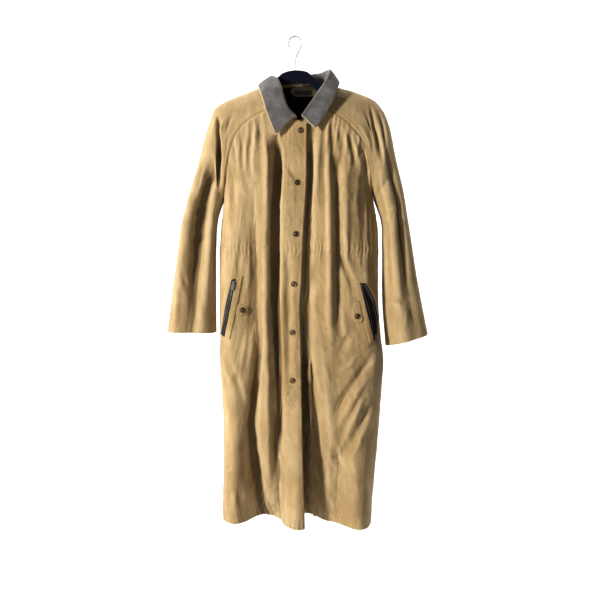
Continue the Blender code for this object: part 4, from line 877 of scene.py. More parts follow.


# Small creases: rows of x, z, how far they stand out, half width
CREASES = {
    "front_right": {
        "deep beside the placket": [
            (-50, -255, 0, 8), (-46, -300, -9, 8), (-46, -357, -13, 9), (-51, -483, -14, 9),
            (-51, -693, -14, 9), (-47, -860, -12, 9), (-45, -940, -9, 8), (-42, -1050, -7, 7),
            (-38, -1110, 0, 5),
        ],
        "end of the valley": [(-44, -1095, 0, 4), (-34, -1130, -3, 4), (-26, -1165, 0, 4)],
        "ridge beside the valley": [
            (-82, -255, 0, 7), (-76, -310, 8, 8), (-76, -420, 9, 8), (-79, -560, 10, 8), (-79, -700, 10, 8),
            (-76, -860, 9, 9), (-74, -1000, 8, 9), (-72, -1120, 4, 10), (-72, -1200, 0, 11),
        ],
        "deep skirt valley": [
            (-103, -770, 0, 8), (-100, -850, -12, 9), (-112, -950, -13, 10), (-122, -1040, -12, 12),
            (-112, -1160, -10, 14), (-100, -1290, 0, 16),
        ],
        "placket hollow": [
            (-20, -520, 0, 9), (-20, -600, -5, 10), (-18, -720, -6, 10), (-17, -860, -6, 10),
            (-15, -950, 0, 10),
        ],
        "shade under the shoulder": [(-160, -330, 0, 8), (-166, -420, -6, 10), (-168, -520, 0, 10)],
        "collar shade": [(-70, -262, 0, 7), (-72, -330, 3, 8), (-78, -420, 0, 8)],
        "gather one": [(-104, -226, 0, 6), (-104, -262, 4, 8), (-108, -330, 3, 10), (-112, -400, 0, 11)],
        "gather one valley": [
            (-94, -222, 0, 5), (-93, -262, -4, 7), (-92, -330, -3, 9), (-90, -400, 0, 10),
        ],
        "gather two": [(-124, -240, 0, 6), (-126, -280, 3, 8), (-134, -360, 0, 10)],
        "gather two valley": [(-115, -236, 0, 5), (-117, -280, -4, 6), (-122, -350, 0, 8)],
        "gather three": [(-146, -268, 0, 5), (-146, -300, 3, 7), (-150, -370, 0, 9)],
        "gather three valley": [(-137, -256, 0, 5), (-137, -290, -3, 6), (-140, -350, 0, 7)],
        "under the collar": [(-40, -262, 0, 6), (-38, -330, -2, 7), (-36, -400, 0, 7)],
        "snap pull upper": [(2, -376, 0, 5), (-14, -352, -2, 6), (-28, -318, 0, 6)],
        "waist to pocket": [(-150, -566, 0, 5), (-152, -600, -3, 6), (-150, -640, 0, 6)],
        "waist fan one": [(-120, -575, 0, 5), (-124, -620, 3, 7), (-134, -690, 0, 8)],
        "waist fan two": [(-84, -575, 0, 6), (-82, -640, 3, 8), (-84, -720, 0, 8)],
        "beside the tab": [
            (-112, -690, 0, 7), (-118, -740, -4, 8), (-128, -800, -3, 8), (-136, -850, 0, 8),
        ],
        "beside the tab ridge": [
            (-124, -760, 0, 6), (-132, -810, 4, 7), (-146, -870, 3, 8), (-158, -910, 0, 8),
        ],
        "v left": [(-186, -850, 0, 6), (-176, -890, -4, 7), (-164, -925, 0, 6)],
        "v right": [(-148, -860, 0, 6), (-158, -900, -4, 7), (-164, -930, 0, 6)],
        "slant to the valley": [(-150, -900, 0, 8), (-132, -960, 4, 9), (-118, -1030, 0, 10)],
        "below the last snap": [(-6, -925, 0, 5), (-16, -950, -2, 5), (-26, -968, 0, 5)],
        "hem bend": [(-160, -1200, 0, 9), (-150, -1250, -4, 9), (-144, -1300, 0, 8)],
        "hem bend ridge": [(-138, -1190, 0, 10), (-130, -1250, 4, 10), (-126, -1300, 0, 10)],
        "knee crease": [(-44, -1120, 0, 7), (-36, -1190, -4, 8), (-30, -1240, 0, 7)],
    },
    "front_left": {
        "deep behind the placket": [
            (34, -255, 0, 8), (34, -330, -6, 9), (31, -560, -7, 9), (29, -720, -7, 10), (32, -860, -5, 16),
            (42, -960, -6, 26), (50, -1060, -9, 30), (54, -1190, -11, 32), (56, -1330, -10, 32),
        ],
        "crest of the second ridge": [
            (86, -300, 0, 7), (89, -400, 6, 8), (92, -560, 6, 8), (94, -700, 5, 9), (98, -840, 0, 10),
        ],
        "crest of the third ridge": [(132, -420, 0, 8), (134, -520, 4, 8), (140, -640, 0, 8)],
        "crest beside the recess": [
            (74, -820, 0, 12), (84, -920, 4, 14), (98, -1040, 5, 16), (108, -1160, 0, 16),
        ],
        "deep side valley": [
            (176, -262, 0, 9), (192, -330, -10, 13), (198, -400, -13, 14), (202, -500, -11, 13),
            (206, -600, -7, 12), (206, -680, 0, 12),
        ],
        "under the collar point": [(60, -262, 0, 7), (56, -330, 3, 8), (54, -420, 0, 9)],
        "gather one": [(84, -214, 0, 5), (86, -250, 4, 7), (88, -330, 3, 9), (88, -400, 0, 10)],
        "gather one valley": [(96, -222, 0, 4), (97, -260, -4, 6), (99, -330, -2, 8), (100, -380, 0, 8)],
        "gather two": [(106, -226, 0, 5), (108, -264, 3, 6), (112, -330, 0, 8)],
        "gather two valley": [(116, -232, 0, 4), (119, -266, -3, 6), (124, -320, 0, 7)],
        "gather three": [(128, -238, 0, 5), (134, -272, 4, 6), (144, -330, 2, 8), (150, -380, 0, 8)],
        "gather three valley": [
            (140, -252, 0, 4), (148, -286, -4, 6), (158, -340, -2, 7), (164, -390, 0, 7),
        ],
        "gather four": [(152, -262, 0, 5), (162, -300, 4, 6), (172, -352, 0, 7)],
        "waist pull": [(120, -566, 0, 6), (132, -604, -5, 7), (148, -646, -4, 7), (156, -676, 0, 6)],
        "waist pull ridge": [(132, -560, 0, 6), (146, -604, 4, 8), (160, -644, 0, 8)],
        "from the first gather": [(52, -560, 0, 5), (50, -620, -3, 7), (46, -690, 0, 8)],
        "belly one": [(76, -640, 0, 12), (84, -720, 4, 14), (92, -800, 0, 14)],
        "belly two": [(120, -690, 0, 8), (132, -760, 4, 10), (150, -830, 0, 10)],
        "tab pull": [(150, -770, 0, 7), (136, -800, -4, 8), (110, -850, 0, 9)],
        "tab pull low": [(176, -830, 0, 6), (150, -862, 3, 8), (112, -890, 0, 9)],
        "pocket end one": [(222, -822, 0, 5), (206, -842, -4, 6), (188, -852, 0, 6)],
        "pocket end two": [(230, -850, 0, 5), (212, -862, 4, 6), (190, -878, 0, 7)],
        "long slant ridge": [(206, -892, 0, 5), (172, -936, 3, 6), (130, -1006, 2, 6), (100, -1066, 0, 7)],
        "second slant": [(196, -925, 0, 4), (170, -968, -4, 5), (146, -1010, -3, 5), (126, -1060, 0, 5)],
        "second slant ridge": [
            (188, -950, 0, 5), (166, -1000, 3, 6), (140, -1060, 2, 6), (120, -1110, 0, 7),
        ],
        "cross slant": [(140, -930, 0, 6), (160, -962, -3, 6), (176, -980, 0, 6)],
        "low slant ridge": [(206, -1010, 0, 6), (178, -1070, 3, 7), (150, -1130, 0, 7)],
        "side dent": [(226, -1030, 0, 8), (206, -1060, -4, 9), (198, -1090, 0, 8)],
        "far slant": [(90, -1080, 0, 9), (110, -1130, -3, 10), (140, -1190, 0, 11)],
    },
    "back": {
        "right blade": [(-84, -250, 0, 10), (-96, -330, 4, 13), (-110, -420, 0, 14)],
        "left blade": [(100, -250, 0, 10), (112, -330, 4, 13), (124, -420, 0, 14)],
        "neck fan right": [(-30, -150, 0, 8), (-40, -230, -3, 11), (-50, -320, 0, 12)],
        "neck fan left": [(52, -150, 0, 8), (62, -230, -3, 11), (70, -320, 0, 12)],
        "seat slant right": [(-150, -840, 0, 10), (-110, -900, -4, 12), (-60, -980, 0, 13)],
        "seat slant left": [(170, -830, 0, 10), (130, -890, -4, 12), (84, -970, 0, 13)],
        "seat ridge": [(60, -880, 0, 10), (20, -940, 4, 12), (-20, -1020, 0, 13)],
        "low right": [(-140, -1010, 0, 9), (-110, -1080, 4, 11), (-80, -1160, 0, 12)],
        "low left": [(150, -1020, 0, 9), (122, -1090, 4, 11), (96, -1170, 0, 12)],
        "middle crease": [(30, -620, 0, 8), (26, -700, -3, 10), (22, -790, 0, 10)],
    },
}
# Small creases of the sleeves: place along, place round as for the folds, out, half width
SLEEVE_CREASES = {
    "right": {
        "deep drop": [
            (0.50, 0.80, 0, 6), (0.58, 0.62, -7, 7), (0.72, 0.38, -9, 8), (0.88, 0.24, -6, 8),
            (1.0, 0.20, 0, 8),
        ],
        "deep front": [
            (0.80, 0.54, 0, 12), (0.98, 0.52, -10, 18), (1.20, 0.52, -15, 24), (1.44, 0.52, -14, 24),
            (1.62, 0.50, -8, 20), (1.90, 0.50, -3, 14), (2.05, 0.52, -2, 13),
        ],
        "outer lip": [
            (0.90, 0.90, 0, 7), (1.10, 0.90, 7, 8), (1.44, 0.90, 8, 9), (1.70, 0.90, 4, 9),
            (1.90, 0.90, 0, 9),
        ],
        "inner lip": [(1.00, 0.16, 0, 7), (1.24, 0.14, 6, 8), (1.50, 0.14, 5, 8), (1.80, 0.18, 0, 8)],
        "crown one": [(0.44, 0.62, 0, 5), (0.56, 0.52, 4, 6), (0.70, 0.50, 0, 7)],
        "crown two": [(0.50, 0.78, 0, 5), (0.60, 0.80, 4, 6), (0.74, 0.80, 0, 8)],
        "short valley": [(0.46, 0.24, 0, 4), (0.56, 0.16, -3, 5), (0.66, 0.10, 0, 5)],
        "upper arm": [(0.92, 0.74, 0, 7), (1.05, 0.70, 4, 8), (1.22, 0.64, 0, 8)],
        "upper arm valley": [(1.00, 0.60, 0, 6), (1.12, 0.62, -4, 7), (1.28, 0.66, 0, 7)],
        "elbow one": [(1.18, 0.72, 0, 5), (1.24, 0.56, -4, 6), (1.30, 0.44, 0, 6)],
        "elbow two": [(1.24, 0.48, 0, 5), (1.30, 0.60, 3, 6), (1.38, 0.66, 0, 6)],
        "elbow three": [(1.62, 0.84, 0, 5), (1.68, 0.72, -3, 6), (1.76, 0.60, 0, 6)],
        "cuff one": [(1.72, 0.80, 0, 6), (1.84, 0.74, -4, 7), (1.98, 0.72, 0, 7)],
        "cuff two": [(1.74, 0.30, 0, 6), (1.86, 0.28, 3, 8), (2.00, 0.26, 0, 8)],
        "inner": [(1.12, 0.18, 0, 7), (1.40, 0.20, 4, 9), (1.80, 0.22, 0, 9)],
        "back one": [(0.90, 1.20, 0, 8), (1.20, 1.24, 4, 9), (1.60, 1.22, 0, 10)],
        "back elbow": [(1.26, 1.20, 0, 6), (1.34, 1.44, -4, 7), (1.40, 1.66, 0, 7)],
        "back elbow two": [(1.36, 1.24, 0, 6), (1.42, 1.44, 3, 7), (1.50, 1.60, 0, 7)],
    },
    "left": {
        "deep outer": [
            (0.70, 0.72, 0, 9), (0.90, 0.70, -7, 12), (1.20, 0.70, -9, 13), (1.44, 0.68, -7, 12),
            (1.70, 0.66, 0, 10),
        ],
        "inner crest": [(0.84, 0.34, 0, 8), (1.10, 0.32, 5, 9), (1.44, 0.32, 4, 9), (1.70, 0.34, 0, 9)],
        "crown one": [(0.40, 0.60, 0, 5), (0.52, 0.44, -4, 6), (0.62, 0.36, 0, 6)],
        "crown two": [(0.48, 0.92, 0, 5), (0.60, 0.90, 4, 6), (0.76, 0.88, 0, 7)],
        "by the seam": [(0.40, 0.20, 0, 4), (0.52, 0.16, 3, 5), (0.66, 0.12, 0, 6)],
        "by the seam valley": [(0.44, 0.34, 0, 4), (0.56, 0.30, -3, 5), (0.70, 0.26, 0, 6)],
        "elbow pinch": [(1.16, 0.22, 0, 5), (1.22, 0.40, -4, 6), (1.26, 0.56, 0, 6)],
        "elbow pinch ridge": [(1.20, 0.20, 0, 5), (1.26, 0.36, 3, 5), (1.30, 0.52, 0, 5)],
        "cuff pinch": [(1.72, 0.30, 0, 5), (1.76, 0.48, -4, 5), (1.77, 0.62, 0, 5)],
        "cuff pinch two": [(1.78, 0.56, 0, 5), (1.84, 0.54, 3, 5), (1.92, 0.46, 0, 6)],
        "inner": [(1.04, 0.10, 0, 7), (1.40, 0.12, 3, 8), (1.80, 0.14, 0, 8)],
        "forearm": [(1.10, 0.58, 0, 7), (1.50, 0.56, -3, 9), (1.90, 0.58, 0, 9)],
        "back one": [(0.90, 1.24, 0, 8), (1.20, 1.22, 4, 9), (1.60, 1.24, 0, 10)],
        "back elbow": [(1.26, 1.22, 0, 6), (1.34, 1.46, -4, 7), (1.40, 1.64, 0, 7)],
        "back elbow two": [(1.36, 1.20, 0, 6), (1.42, 1.40, 3, 7), (1.50, 1.62, 0, 7)],
    },
}


def waist_band(z):
    """1 in the gathered waist zone, 0 above and below it."""
    return np.clip(1 - np.abs(z - (WAIST_TOP + WAIST_LOW) / 2) / 24.0, 0, 1) ** 0.6


def waist_line(cloth, seed, fade):
    """The stitched waist: short uneven gathers with two sunk rows of stitches."""
    z = cloth.flat[..., 2]
    x = cloth.across
    height = 2.6 * pleats(x + 1.5 * np.sin(z / 9.0), 11.0, seed) * waist_band(z)
    height = height + 1.4 * pleats(x, 17.0, seed + 5) * np.exp(-((z + 559) / 42.0) ** 2)
    for row in WAIST_STITCHES:
        height = height + groove(z - row, 0.7, 1.6)
    cloth.lift(height * fade)


def hem_line(cloth, seed, reach=HEM_STITCH, amount=1.5):
    """The stitched hem: a sunk row, short slanting puckers and a soft lower edge."""
    up = cloth.down[-1][None, :] - cloth.down
    x = cloth.across
    wave = pleats(x + up * 0.35, 12.5, seed) - 0.45
    height = amount * wave * np.exp(-((up - reach * 0.5) / (reach * 0.75)) ** 2)
    height = height + 1.0 * (pleats(x + up * 0.2, 31.0, seed + 2) - 0.4) * np.exp(-(up / 60.0) ** 2)
    height = height + groove(up - reach, 0.6, 1.4) - 0.5 * np.exp(-(up / 1.5) ** 2)
    cloth.lift(height)


def pocket_mouth(side, x, z):
    """How far the cloth falls in under the zip, deepest in the middle of the mouth."""
    left, right = (np.array(line[::-1], float) for line in ZIPS[side])
    x_left = np.interp(z, left[:, 1], left[:, 0])
    x_right = np.interp(z, right[:, 1], right[:, 0])
    t = np.clip((x - x_left) / (x_right - x_left), 0, 1)
    low = (left[0, 1] + right[0, 1]) / 2
    high = (left[-1, 1] + right[-1, 1]) / 2
    s = np.clip((z - low) / (high - low), 0, 1)
    return {"right": -3.5, "left": -6.5}[side] * np.sin(math.pi * s) ** 0.6 * np.sin(math.pi * t) ** 1.3


def spaced(*stretches):
    """Places along a panel: each stretch gives its start and its count up to the next one's start."""
    parts = []
    for (start, count), (end, _) in zip(stretches[:-1], stretches[1:]):
        parts.append(np.linspace(start, end, count)[:-1])
    return np.concatenate(parts + [[float(stretches[-1][0])]])


def front_cloth(side):
    name = "front_" + side
    us = spaced((0, 26), (0.16, 112), (1.0, 0))
    rs = spaced((0, 50), (0.3, 66), (1.0, 22), (1.06, 130), (1.93, 22), (2.0, 0))
    cloth = Cloth(front_surface(side), us, rs)
    x = cloth.flat[..., 0]
    z = cloth.flat[..., 2]
    u = cloth.u
    raglan = seam_line(cloth, 0.0, SEAM_SHARE)
    away = sewn(cloth, raglan, (2.2,), 0.6, 3 if side == "right" else 9)
    pitch = {"right": 21.0, "left": 13.5}[side]
    lean = x + (0.10 if side == "right" else -0.14) * (z + 250)
    gathered = ease((u - 0.22) / 0.12) * ease((0.71 - u) / 0.03) * ease((z + 400) / 90)
    fan = pleats(lean, pitch, 13 if side == "right" else 21, 1.3)
    cloth.lift(2.6 * fan * gathered * ease(away / 6) * (1 - ease((away - 10) / 150)))
    fine = pleats(lean, pitch * 0.45, 33 if side == "right" else 41, 1.2)
    cloth.lift(1.0 * fine * gathered * ease(away / 4) * (1 - ease((away - 8) / 26)))
    sewn(cloth, cloth.edge("start"), (), 0.5, 5, dip=1.2)
    inside = ease(u / 0.08) * ease(cloth.r / 0.04)
    cloth.lift(crease_height(CREASES[name], x, z, 4) * inside)
    band = 1.0
    if side == "right":
        band = ease((overlap_edge(z) - PLACKET_WIDTH - 4 - x) / 8)
    waist_line(cloth, 2 if side == "right" else 6, inside * band)
    drape(cloth, 11 if side == "right" else 12)
    hem_line(cloth, 7 if side == "right" else 8)
    cloth.lift(pocket_mouth(side, x, z))
    cloth.settle()
    return cloth


def back_cloth():
    us = spaced((0, 22), (0.1, 130), (0.9, 22), (1.0, 0))
    rs = spaced((0, 82), (1.0, 20), (1.06, 98), (1.94, 18), (2.0, 0))
    cloth = Cloth(back_surface(), us, rs)
    x = cloth.flat[..., 0]
    z = cloth.flat[..., 2]
    for k, (a, b) in enumerate(((0.0, NECK_START), (NECK_END, 1.0))):
        sewn(cloth, seam_line(cloth, a, b), (2.2,), 0.6, 15 + k)
    for which in ("start", "end"):
        sewn(cloth, cloth.edge(which), (), 0.5, 17, dip=1.2)
    inside = ease(cloth.u / 0.05) * ease((1 - cloth.u) / 0.05) * ease(cloth.r / 0.06)
    cloth.lift(crease_height(CREASES["back"], x, z, 6) * inside)
    waist_line(cloth, 9, inside)
    drape(cloth, 14)
    hem_line(cloth, 10)
    cloth.settle()
    return cloth


def sleeve_cloth(side):
    us = np.linspace(0, 1, 113)
    rs = spaced((0, 92), (1.0, 84), (1.9, 26), (2.0, 0))
    cloth = Cloth(sleeve_surface(side), us, rs, closed_from=1.0)
    open_rows = cloth.rs <= 1.0
    for which in ("start", "end"):
        line = cloth.edge(which)[open_rows][::3]
        away, along = to_line(cloth.flat, line)
        above = ease((1.04 - cloth.r) / 0.08)
        height = groove(away, 1.3, 2.3)
        for row in SLEEVE_STITCHES:
            height = height + groove(away - row, 0.45, 1.1)
        gathers = 0.55 * (pleats(along, 8.0, 19) - 0.4)
        height = height + gathers * np.exp(-(away / 12.0) ** 2) * ease(away / 2.5)
        cloth.lift(height * above)
    around = place_round(cloth.u, cloth.r)
    seam_fade = ease(np.minimum(cloth.u, 1 - cloth.u) / 0.08) * ease(cloth.r / 0.1)
    rows = sleeve_rows(SLEEVE_CREASES[side])
    creases = crease_height(rows, around * SLEEVE_ROUND, cloth.r * SLEEVE_LONG, 8)
    cloth.lift(creases * seam_fade)
    off_seam = np.sin(math.pi * cloth.u) ** 0.5
    soft = 1.2 * swell(around * 2.2, cloth.r * 2.4, 23) + 0.35 * swell(around * 9, cloth.r * 12, 24)
    cloth.lift(soft * off_seam)
    up = cloth.down[-1][None, :] - cloth.down
    cuff = groove(up - CUFF_STITCH, 0.6, 1.4) - 0.5 * np.exp(-(up / 1.5) ** 2)
    wave = pleats(cloth.across + up * 0.3, 13.0, 27) - 0.45
    cuff = cuff + 0.8 * wave * np.exp(-((up - 18) / 20.0) ** 2) * off_seam
    cloth.lift(cuff)
    cloth.settle()
    return cloth


# Trims, stitches and fastenings

def run_of(points):
    """Distance along a line of points, at each of them."""
    return np.concatenate([[0], np.cumsum(np.linalg.norm(np.diff(points, axis=0), axis=1))])


def read_line(where, at, values):
    """Values given at places along a line, read at other places on it."""
    return np.stack([np.interp(where, at, values[:, k]) for k in range(values.shape[1])], axis=-1)


def polyline(points, shares):
    """Places along a line of points, by share of its length."""
    points = np.asarray(points, float)
    lengths = run_of(points)
    return read_line(np.asarray(shares, float) * lengths[-1], lengths, points)


def sink_in(near, round_off):
    """Share of its full height that a laid-on piece has near its rim."""
    return np.sqrt(np.clip(1 - (1 - np.clip(near / round_off, 0, 1)) ** 2, 0.03, 1))


def edge_rise(s, t, long, wide, thick, round_off=1.6):
    """Height of a laid-on piece over its carrier: full inside, rounded down at its rim."""
    near = np.minimum(np.minimum(s, 1 - s) * long, np.minimum(t, 1 - t) * wide)
    return TRIM_LIFT + thick * sink_in(near, round_off)


def strip_patch(name, cloth, lines, rows, columns, thick, look, node, extra=None):
    """A piece that lies on a panel between two lines of x, z, given down its length."""
    s, t = np.meshgrid(np.linspace(0, 1, rows), np.linspace(0, 1, columns), indexing="ij")
    a = polyline(lines[0], s[:, 0])
    b = polyline(lines[1], s[:, 0])
    xz = a[:, None] * (1 - t[..., None]) + b[:, None] * t[..., None]
    u, r = cloth.under(xz[..., 0], xz[..., 1])
    p, n = cloth.at(u, r)
    long = float(np.linalg.norm(np.diff(a, axis=0), axis=1).sum())
    wide = float(np.linalg.norm(b - a, axis=1).mean())
    height = edge_rise(s, t, long, wide, thick)
    if extra is not None:
        height = height + extra(s, t)
    outer = p + n * height[..., None]
    inner = p + n * (TRIM_LIFT - 0.5)
    uv = np.stack([t * wide, s * long], axis=-1) * MM
    piece = shell(name, outer, inner, uv, np.zeros(s.shape), LOOKS[look], True)
    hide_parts(node)
    return outer, n


def round_outline(corners, radius, count=5):
    """An outline with its corners rounded."""
    out = []
    corners = [np.asarray(c, float) for c in corners]
    for k, corner in enumerate(corners):
        before = corners[k - 1]
        after = corners[(k + 1) % len(corners)]
        r = min(radius, 0.45 * np.linalg.norm(before - corner), 0.45 * np.linalg.norm(after - corner))
        a = corner + unit(before - corner) * r
        b = corner + unit(after - corner) * r
        for t in np.linspace(0, 1, count):
            out.append((1 - t) ** 2 * a + 2 * t * (1 - t) * corner + t * t * b)
    return np.array(out)


def disc_patch(name, find, outline, thick, look, node, radius=4.0, rings=9, lift=0.0):
    """A piece that lies on a panel inside an outline of x, z, as rings round its middle."""
    rim = round_outline(outline, radius)
    closed = np.vstack([rim, rim[:1]])
    lengths = run_of(closed)
    rim = read_line(np.linspace(0, lengths[-1], 97)[:-1], lengths, closed)
    middle = rim.mean(axis=0)
    shares = np.concatenate([[0.02], np.linspace(0.15, 0.86, rings - 4), [0.94, 0.985, 1.0]])
    xz = middle + (rim - middle)[None] * shares[:, None, None]
    p, n = find(xz[..., 0], xz[..., 1])
    reach = np.linalg.norm(rim - middle, axis=1)[None] * (1 - shares[:, None])
    height = lift + TRIM_LIFT + thick * sink_in(reach, 1.4)
    outer = p + n * height[..., None]
    inner = p + n * (lift + TRIM_LIFT - 0.4)
    outer, inner, uv = (np.concatenate([grid, grid[:, :1]], axis=1) for grid in (outer, inner, xz * MM))
    piece = shell(name, outer, inner, uv, np.zeros(outer.shape[:2]), LOOKS[look], True)
    weld(piece)
    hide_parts(node)
    return outer[-1], n[-1]


def weld(piece):
    """Joins the points that meet, such as where a ring closes."""
    bm = bmesh.new()
    bm.from_mesh(piece.data)
    bmesh.ops.remove_doubles(bm, verts=bm.verts, dist=0.00002)
    bmesh.ops.recalc_face_normals(bm, faces=bm.faces)
    bm.to_mesh(piece.data)
    bm.free()


def block_faces(first):
    """Faces of a small block of three rings of four points."""
    faces = []
    for ring in (first, first + 4):
        for i in range(4):
            j = (i + 1) % 4
            faces.append((ring + i, ring + j, ring + 4 + j, ring + 4 + i))
    faces.append((first + 3, first + 2, first + 1, first))
    faces.append((first + 8, first + 9, first + 10, first + 11))
    return faces


class Thread:
    """Rows of stitches gathered into one mesh."""

    def __init__(self):
        self.points = []
        self.faces = []

    def row(self, points, facings, pitch=3.4, length=2.5, width=0.75, height=0.55, lift=0.25):
        """Stitches along a line that lies on cloth."""
        points = np.asarray(points, float)
        facings = np.asarray(facings, float)
        at = run_of(points)
        starts = np.arange(0.5, at[-1] - length, pitch)
        if not len(starts):
            return
        ends = []
        for where in (starts, starts + length * 0.5, starts + length):
            n = read_line(where, at, facings)
            ends.append((read_line(where, at, points), n / np.linalg.norm(n, axis=1, keepdims=True)))
        run = ends[2][0] - ends[0][0]
        run /= np.maximum(np.linalg.norm(run, axis=1, keepdims=True), 1e-9)
        rings = []
        for (p, n), grow in zip(ends, (0.55, 1.0, 0.55)):
            side = np.cross(run, n)
            base = p + n * (lift - 0.3)
            w = width / 2 * grow
            rings.append([base + side * w, base + side * w * 0.6 + n * height * grow,
                          base - side * w * 0.6 + n * height * grow, base - side * w])
        first = len(self.points)
        self.points.extend(np.stack([np.stack(ring, axis=1) for ring in rings], axis=1).reshape(-1, 3))
        for k in range(len(starts)):
            self.faces.extend(block_faces(first + k * 12))

    def on(self, cloth, us, rs, **sizes):
        p, n = cloth.at(us, rs)
        self.row(p, n, **sizes)

    def piece(self, name, material):
        mesh = bpy.data.meshes.new(name)
        mesh.from_pydata((np.array(self.points) * MM).tolist(), [], self.faces)
        mesh.shade_smooth()
        return add_piece(name, mesh, material)


def beside_edge(cloth, which, distance, r0=0.0, r1=2.0, count=500):
    """Places at a distance inside a side edge of a panel, down its length."""
    rs = np.linspace(r0, r1, count)
    i = np.clip(np.searchsorted(cloth.rs, rs), 0, len(cloth.rs) - 1)
    us = []
    for k in i:
        run = cloth.across[k]
        if which == "start":
            us.append(np.interp(distance, run, cloth.us))
        else:
            us.append(np.interp(run[-1] - distance, run, cloth.us))
    return np.array(us), rs


def below_top(cloth, distance, u0, u1, count=400):
    """Places at a true distance from the top edge, along it."""
    line = seam_line(cloth, u0, u1, 80)
    us = np.linspace(u0, u1, count)
    out = []
    for u in us:
        rs = np.linspace(0, 0.12, 40)
        p, _ = cloth.at(np.full(40, u), rs)
        away, _ = to_line(p, line)
        out.append(np.interp(distance, away, rs))
    return us, np.array(out)


def above_hem(cloth, distance, u0=0.0, u1=1.0, count=500):
    us = np.linspace(u0, u1, count)
    rs = []
    for u in us:
        j = int(np.clip(np.searchsorted(cloth.us, u), 0, len(cloth.us) - 1))
        run = cloth.down[:, j]
        rs.append(np.interp(run[-1] - distance, run, cloth.rs))
    return us, np.array(rs)


def turned(name, profile, place, towards, material, node, sides=40):
    """A round piece from a profile of radius and height, standing on a place."""
    n = unit(np.asarray(towards, float))
    side = unit(np.cross(n, (0.0, 0.0, 1.0)))
    up = np.cross(side, n)
    angles = np.linspace(0, 2 * math.pi, sides, endpoint=False)
    ring = np.cos(angles)[:, None] * side + np.sin(angles)[:, None] * up
    rows = [np.asarray(place) + n * height + ring * max(radius, 0.01) for radius, height in profile]
    mesh = grid_mesh(name, np.array(rows), loop=True)
    mesh.set_sharp_from_angle(angle=math.radians(50))
    piece = add_piece(name, mesh, material)
    weld(piece)
    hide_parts(node)
    return piece


SNAP_PROFILE = [
    (0.0, -0.6), (5.6, -0.6), (5.8, 0.2), (6.9, 0.3), (7.35, 0.6), (7.5, 1.1), (7.35, 1.65), (6.9, 2.0),
    (6.3, 2.15), (5.7, 2.0), (5.2, 1.7), (4.7, 1.55), (4.1, 1.65), (3.4, 2.0), (2.6, 2.4), (1.7, 2.75),
    (0.8, 2.95), (0.0, 3.0),
]


def teeth_row(name, points, facings, pitch=2.1, long=1.3, wide=2.6, high=1.1):
    """Zip teeth along a line: small rounded blocks."""
    at = run_of(points)
    where = np.arange(1.0, at[-1] - 1.0, pitch)
    p = read_line(where, at, points)
    n = read_line(where, at, facings)
    n /= np.linalg.norm(n, axis=1, keepdims=True)
    run = np.gradient(p, axis=0)
    run /= np.linalg.norm(run, axis=1, keepdims=True)
    verts = []
    faces = []
    for c, a, b, d in zip(p, run, np.cross(run, n), n):
        faces.extend(block_faces(len(verts)))
        for z, shrink in ((0.0, 1.0), (high * 0.7, 1.0), (high, 0.7)):
            for i, j in ((-1, -1), (1, -1), (1, 1), (-1, 1)):
                verts.append(c + a * (i * long / 2 * shrink) + b * (j * wide / 2 * shrink) + d * z)
    mesh = bpy.data.meshes.new(name)
    mesh.from_pydata((np.array(verts) * MM).tolist(), [], faces)
    return add_piece(name, mesh, LOOKS["zip"])


# Materials

class Nodes:
    """Short ways to add and link shader nodes."""

    def __init__(self, name):
        self.material = bpy.data.materials.new(name)
        self.material.use_nodes = True
        self.tree = self.material.node_tree
        self.shader = self.tree.nodes["Principled BSDF"]

    def set(self, **values):
        """Values of the shader's own sockets, named with _ for a space."""
        for socket, value in values.items():
            self.shader.inputs[socket.replace("_", " ")].default_value = value

    def feed(self, socket, output):
        self.link(output, self.shader.inputs[socket])

    def uv(self):
        return self.add("ShaderNodeUVMap", uv_map="Cloth").outputs[0]

    def place(self):
        return self.add("ShaderNodeTexCoord").outputs["Object"]

    def shade(self, name):
        return self.add("ShaderNodeAttribute", attribute_name=name).outputs["Fac"]

    def scaled(self, coords, *scale):
        node = self.add("ShaderNodeMapping")
        node.inputs["Scale"].default_value = scale
        self.link(coords, node.inputs["Vector"])
        return node.outputs[0]

    def add(self, kind, **values):
        node = self.tree.nodes.new(kind)
        for key, value in values.items():
            if key in node.inputs:
                node.inputs[key].default_value = value
            else:
                setattr(node, key, value)
        return node

    def link(self, a, b):
        self.tree.links.new(a, b)

    def math(self, kind, a, b=None):
        node = self.add("ShaderNodeMath", operation=kind)
        for k, value in enumerate((a, b)):
            if value is None:
                continue
            if isinstance(value, (int, float)):
                node.inputs[k].default_value = value
            else:
                self.link(value, node.inputs[k])
        return node.outputs[0]

    def noise(self, coords, scale, detail=3.0, rough=0.55):
        node = self.add("ShaderNodeTexNoise", Scale=scale, Detail=detail, Roughness=rough)
        self.link(coords, node.inputs["Vector"])
        return node.outputs["Fac"]

    def mix(self, share, a, b):
        node = self.add("ShaderNodeMix", data_type="RGBA")
        if isinstance(share, float):
            node.inputs["Factor"].default_value = share
        else:
            self.link(share, node.inputs["Factor"])
        for k, value in ((6, a), (7, b)):
            if isinstance(value, tuple):
                node.inputs[k].default_value = (*value, 1.0)
            else:
                self.link(value, node.inputs[k])
        return node.outputs[2]

    def span(self, value, low, high, out_low=0.0, out_high=1.0):
        node = self.add("ShaderNodeMapRange")
        self.link(value, node.inputs["Value"])
        for k, number in zip(("From Min", "From Max", "To Min", "To Max"), (low, high, out_low, out_high)):
            node.inputs[k].default_value = number
        return node.outputs["Result"]

    def bump(self, height, distance, strength=1.0, before=None):
        node = self.add("ShaderNodeBump", Strength=strength, Distance=distance)
        self.link(height, node.inputs["Height"])
        if before is not None:
            self.link(before, node.inputs["Normal"])
        return node.outputs["Normal"]


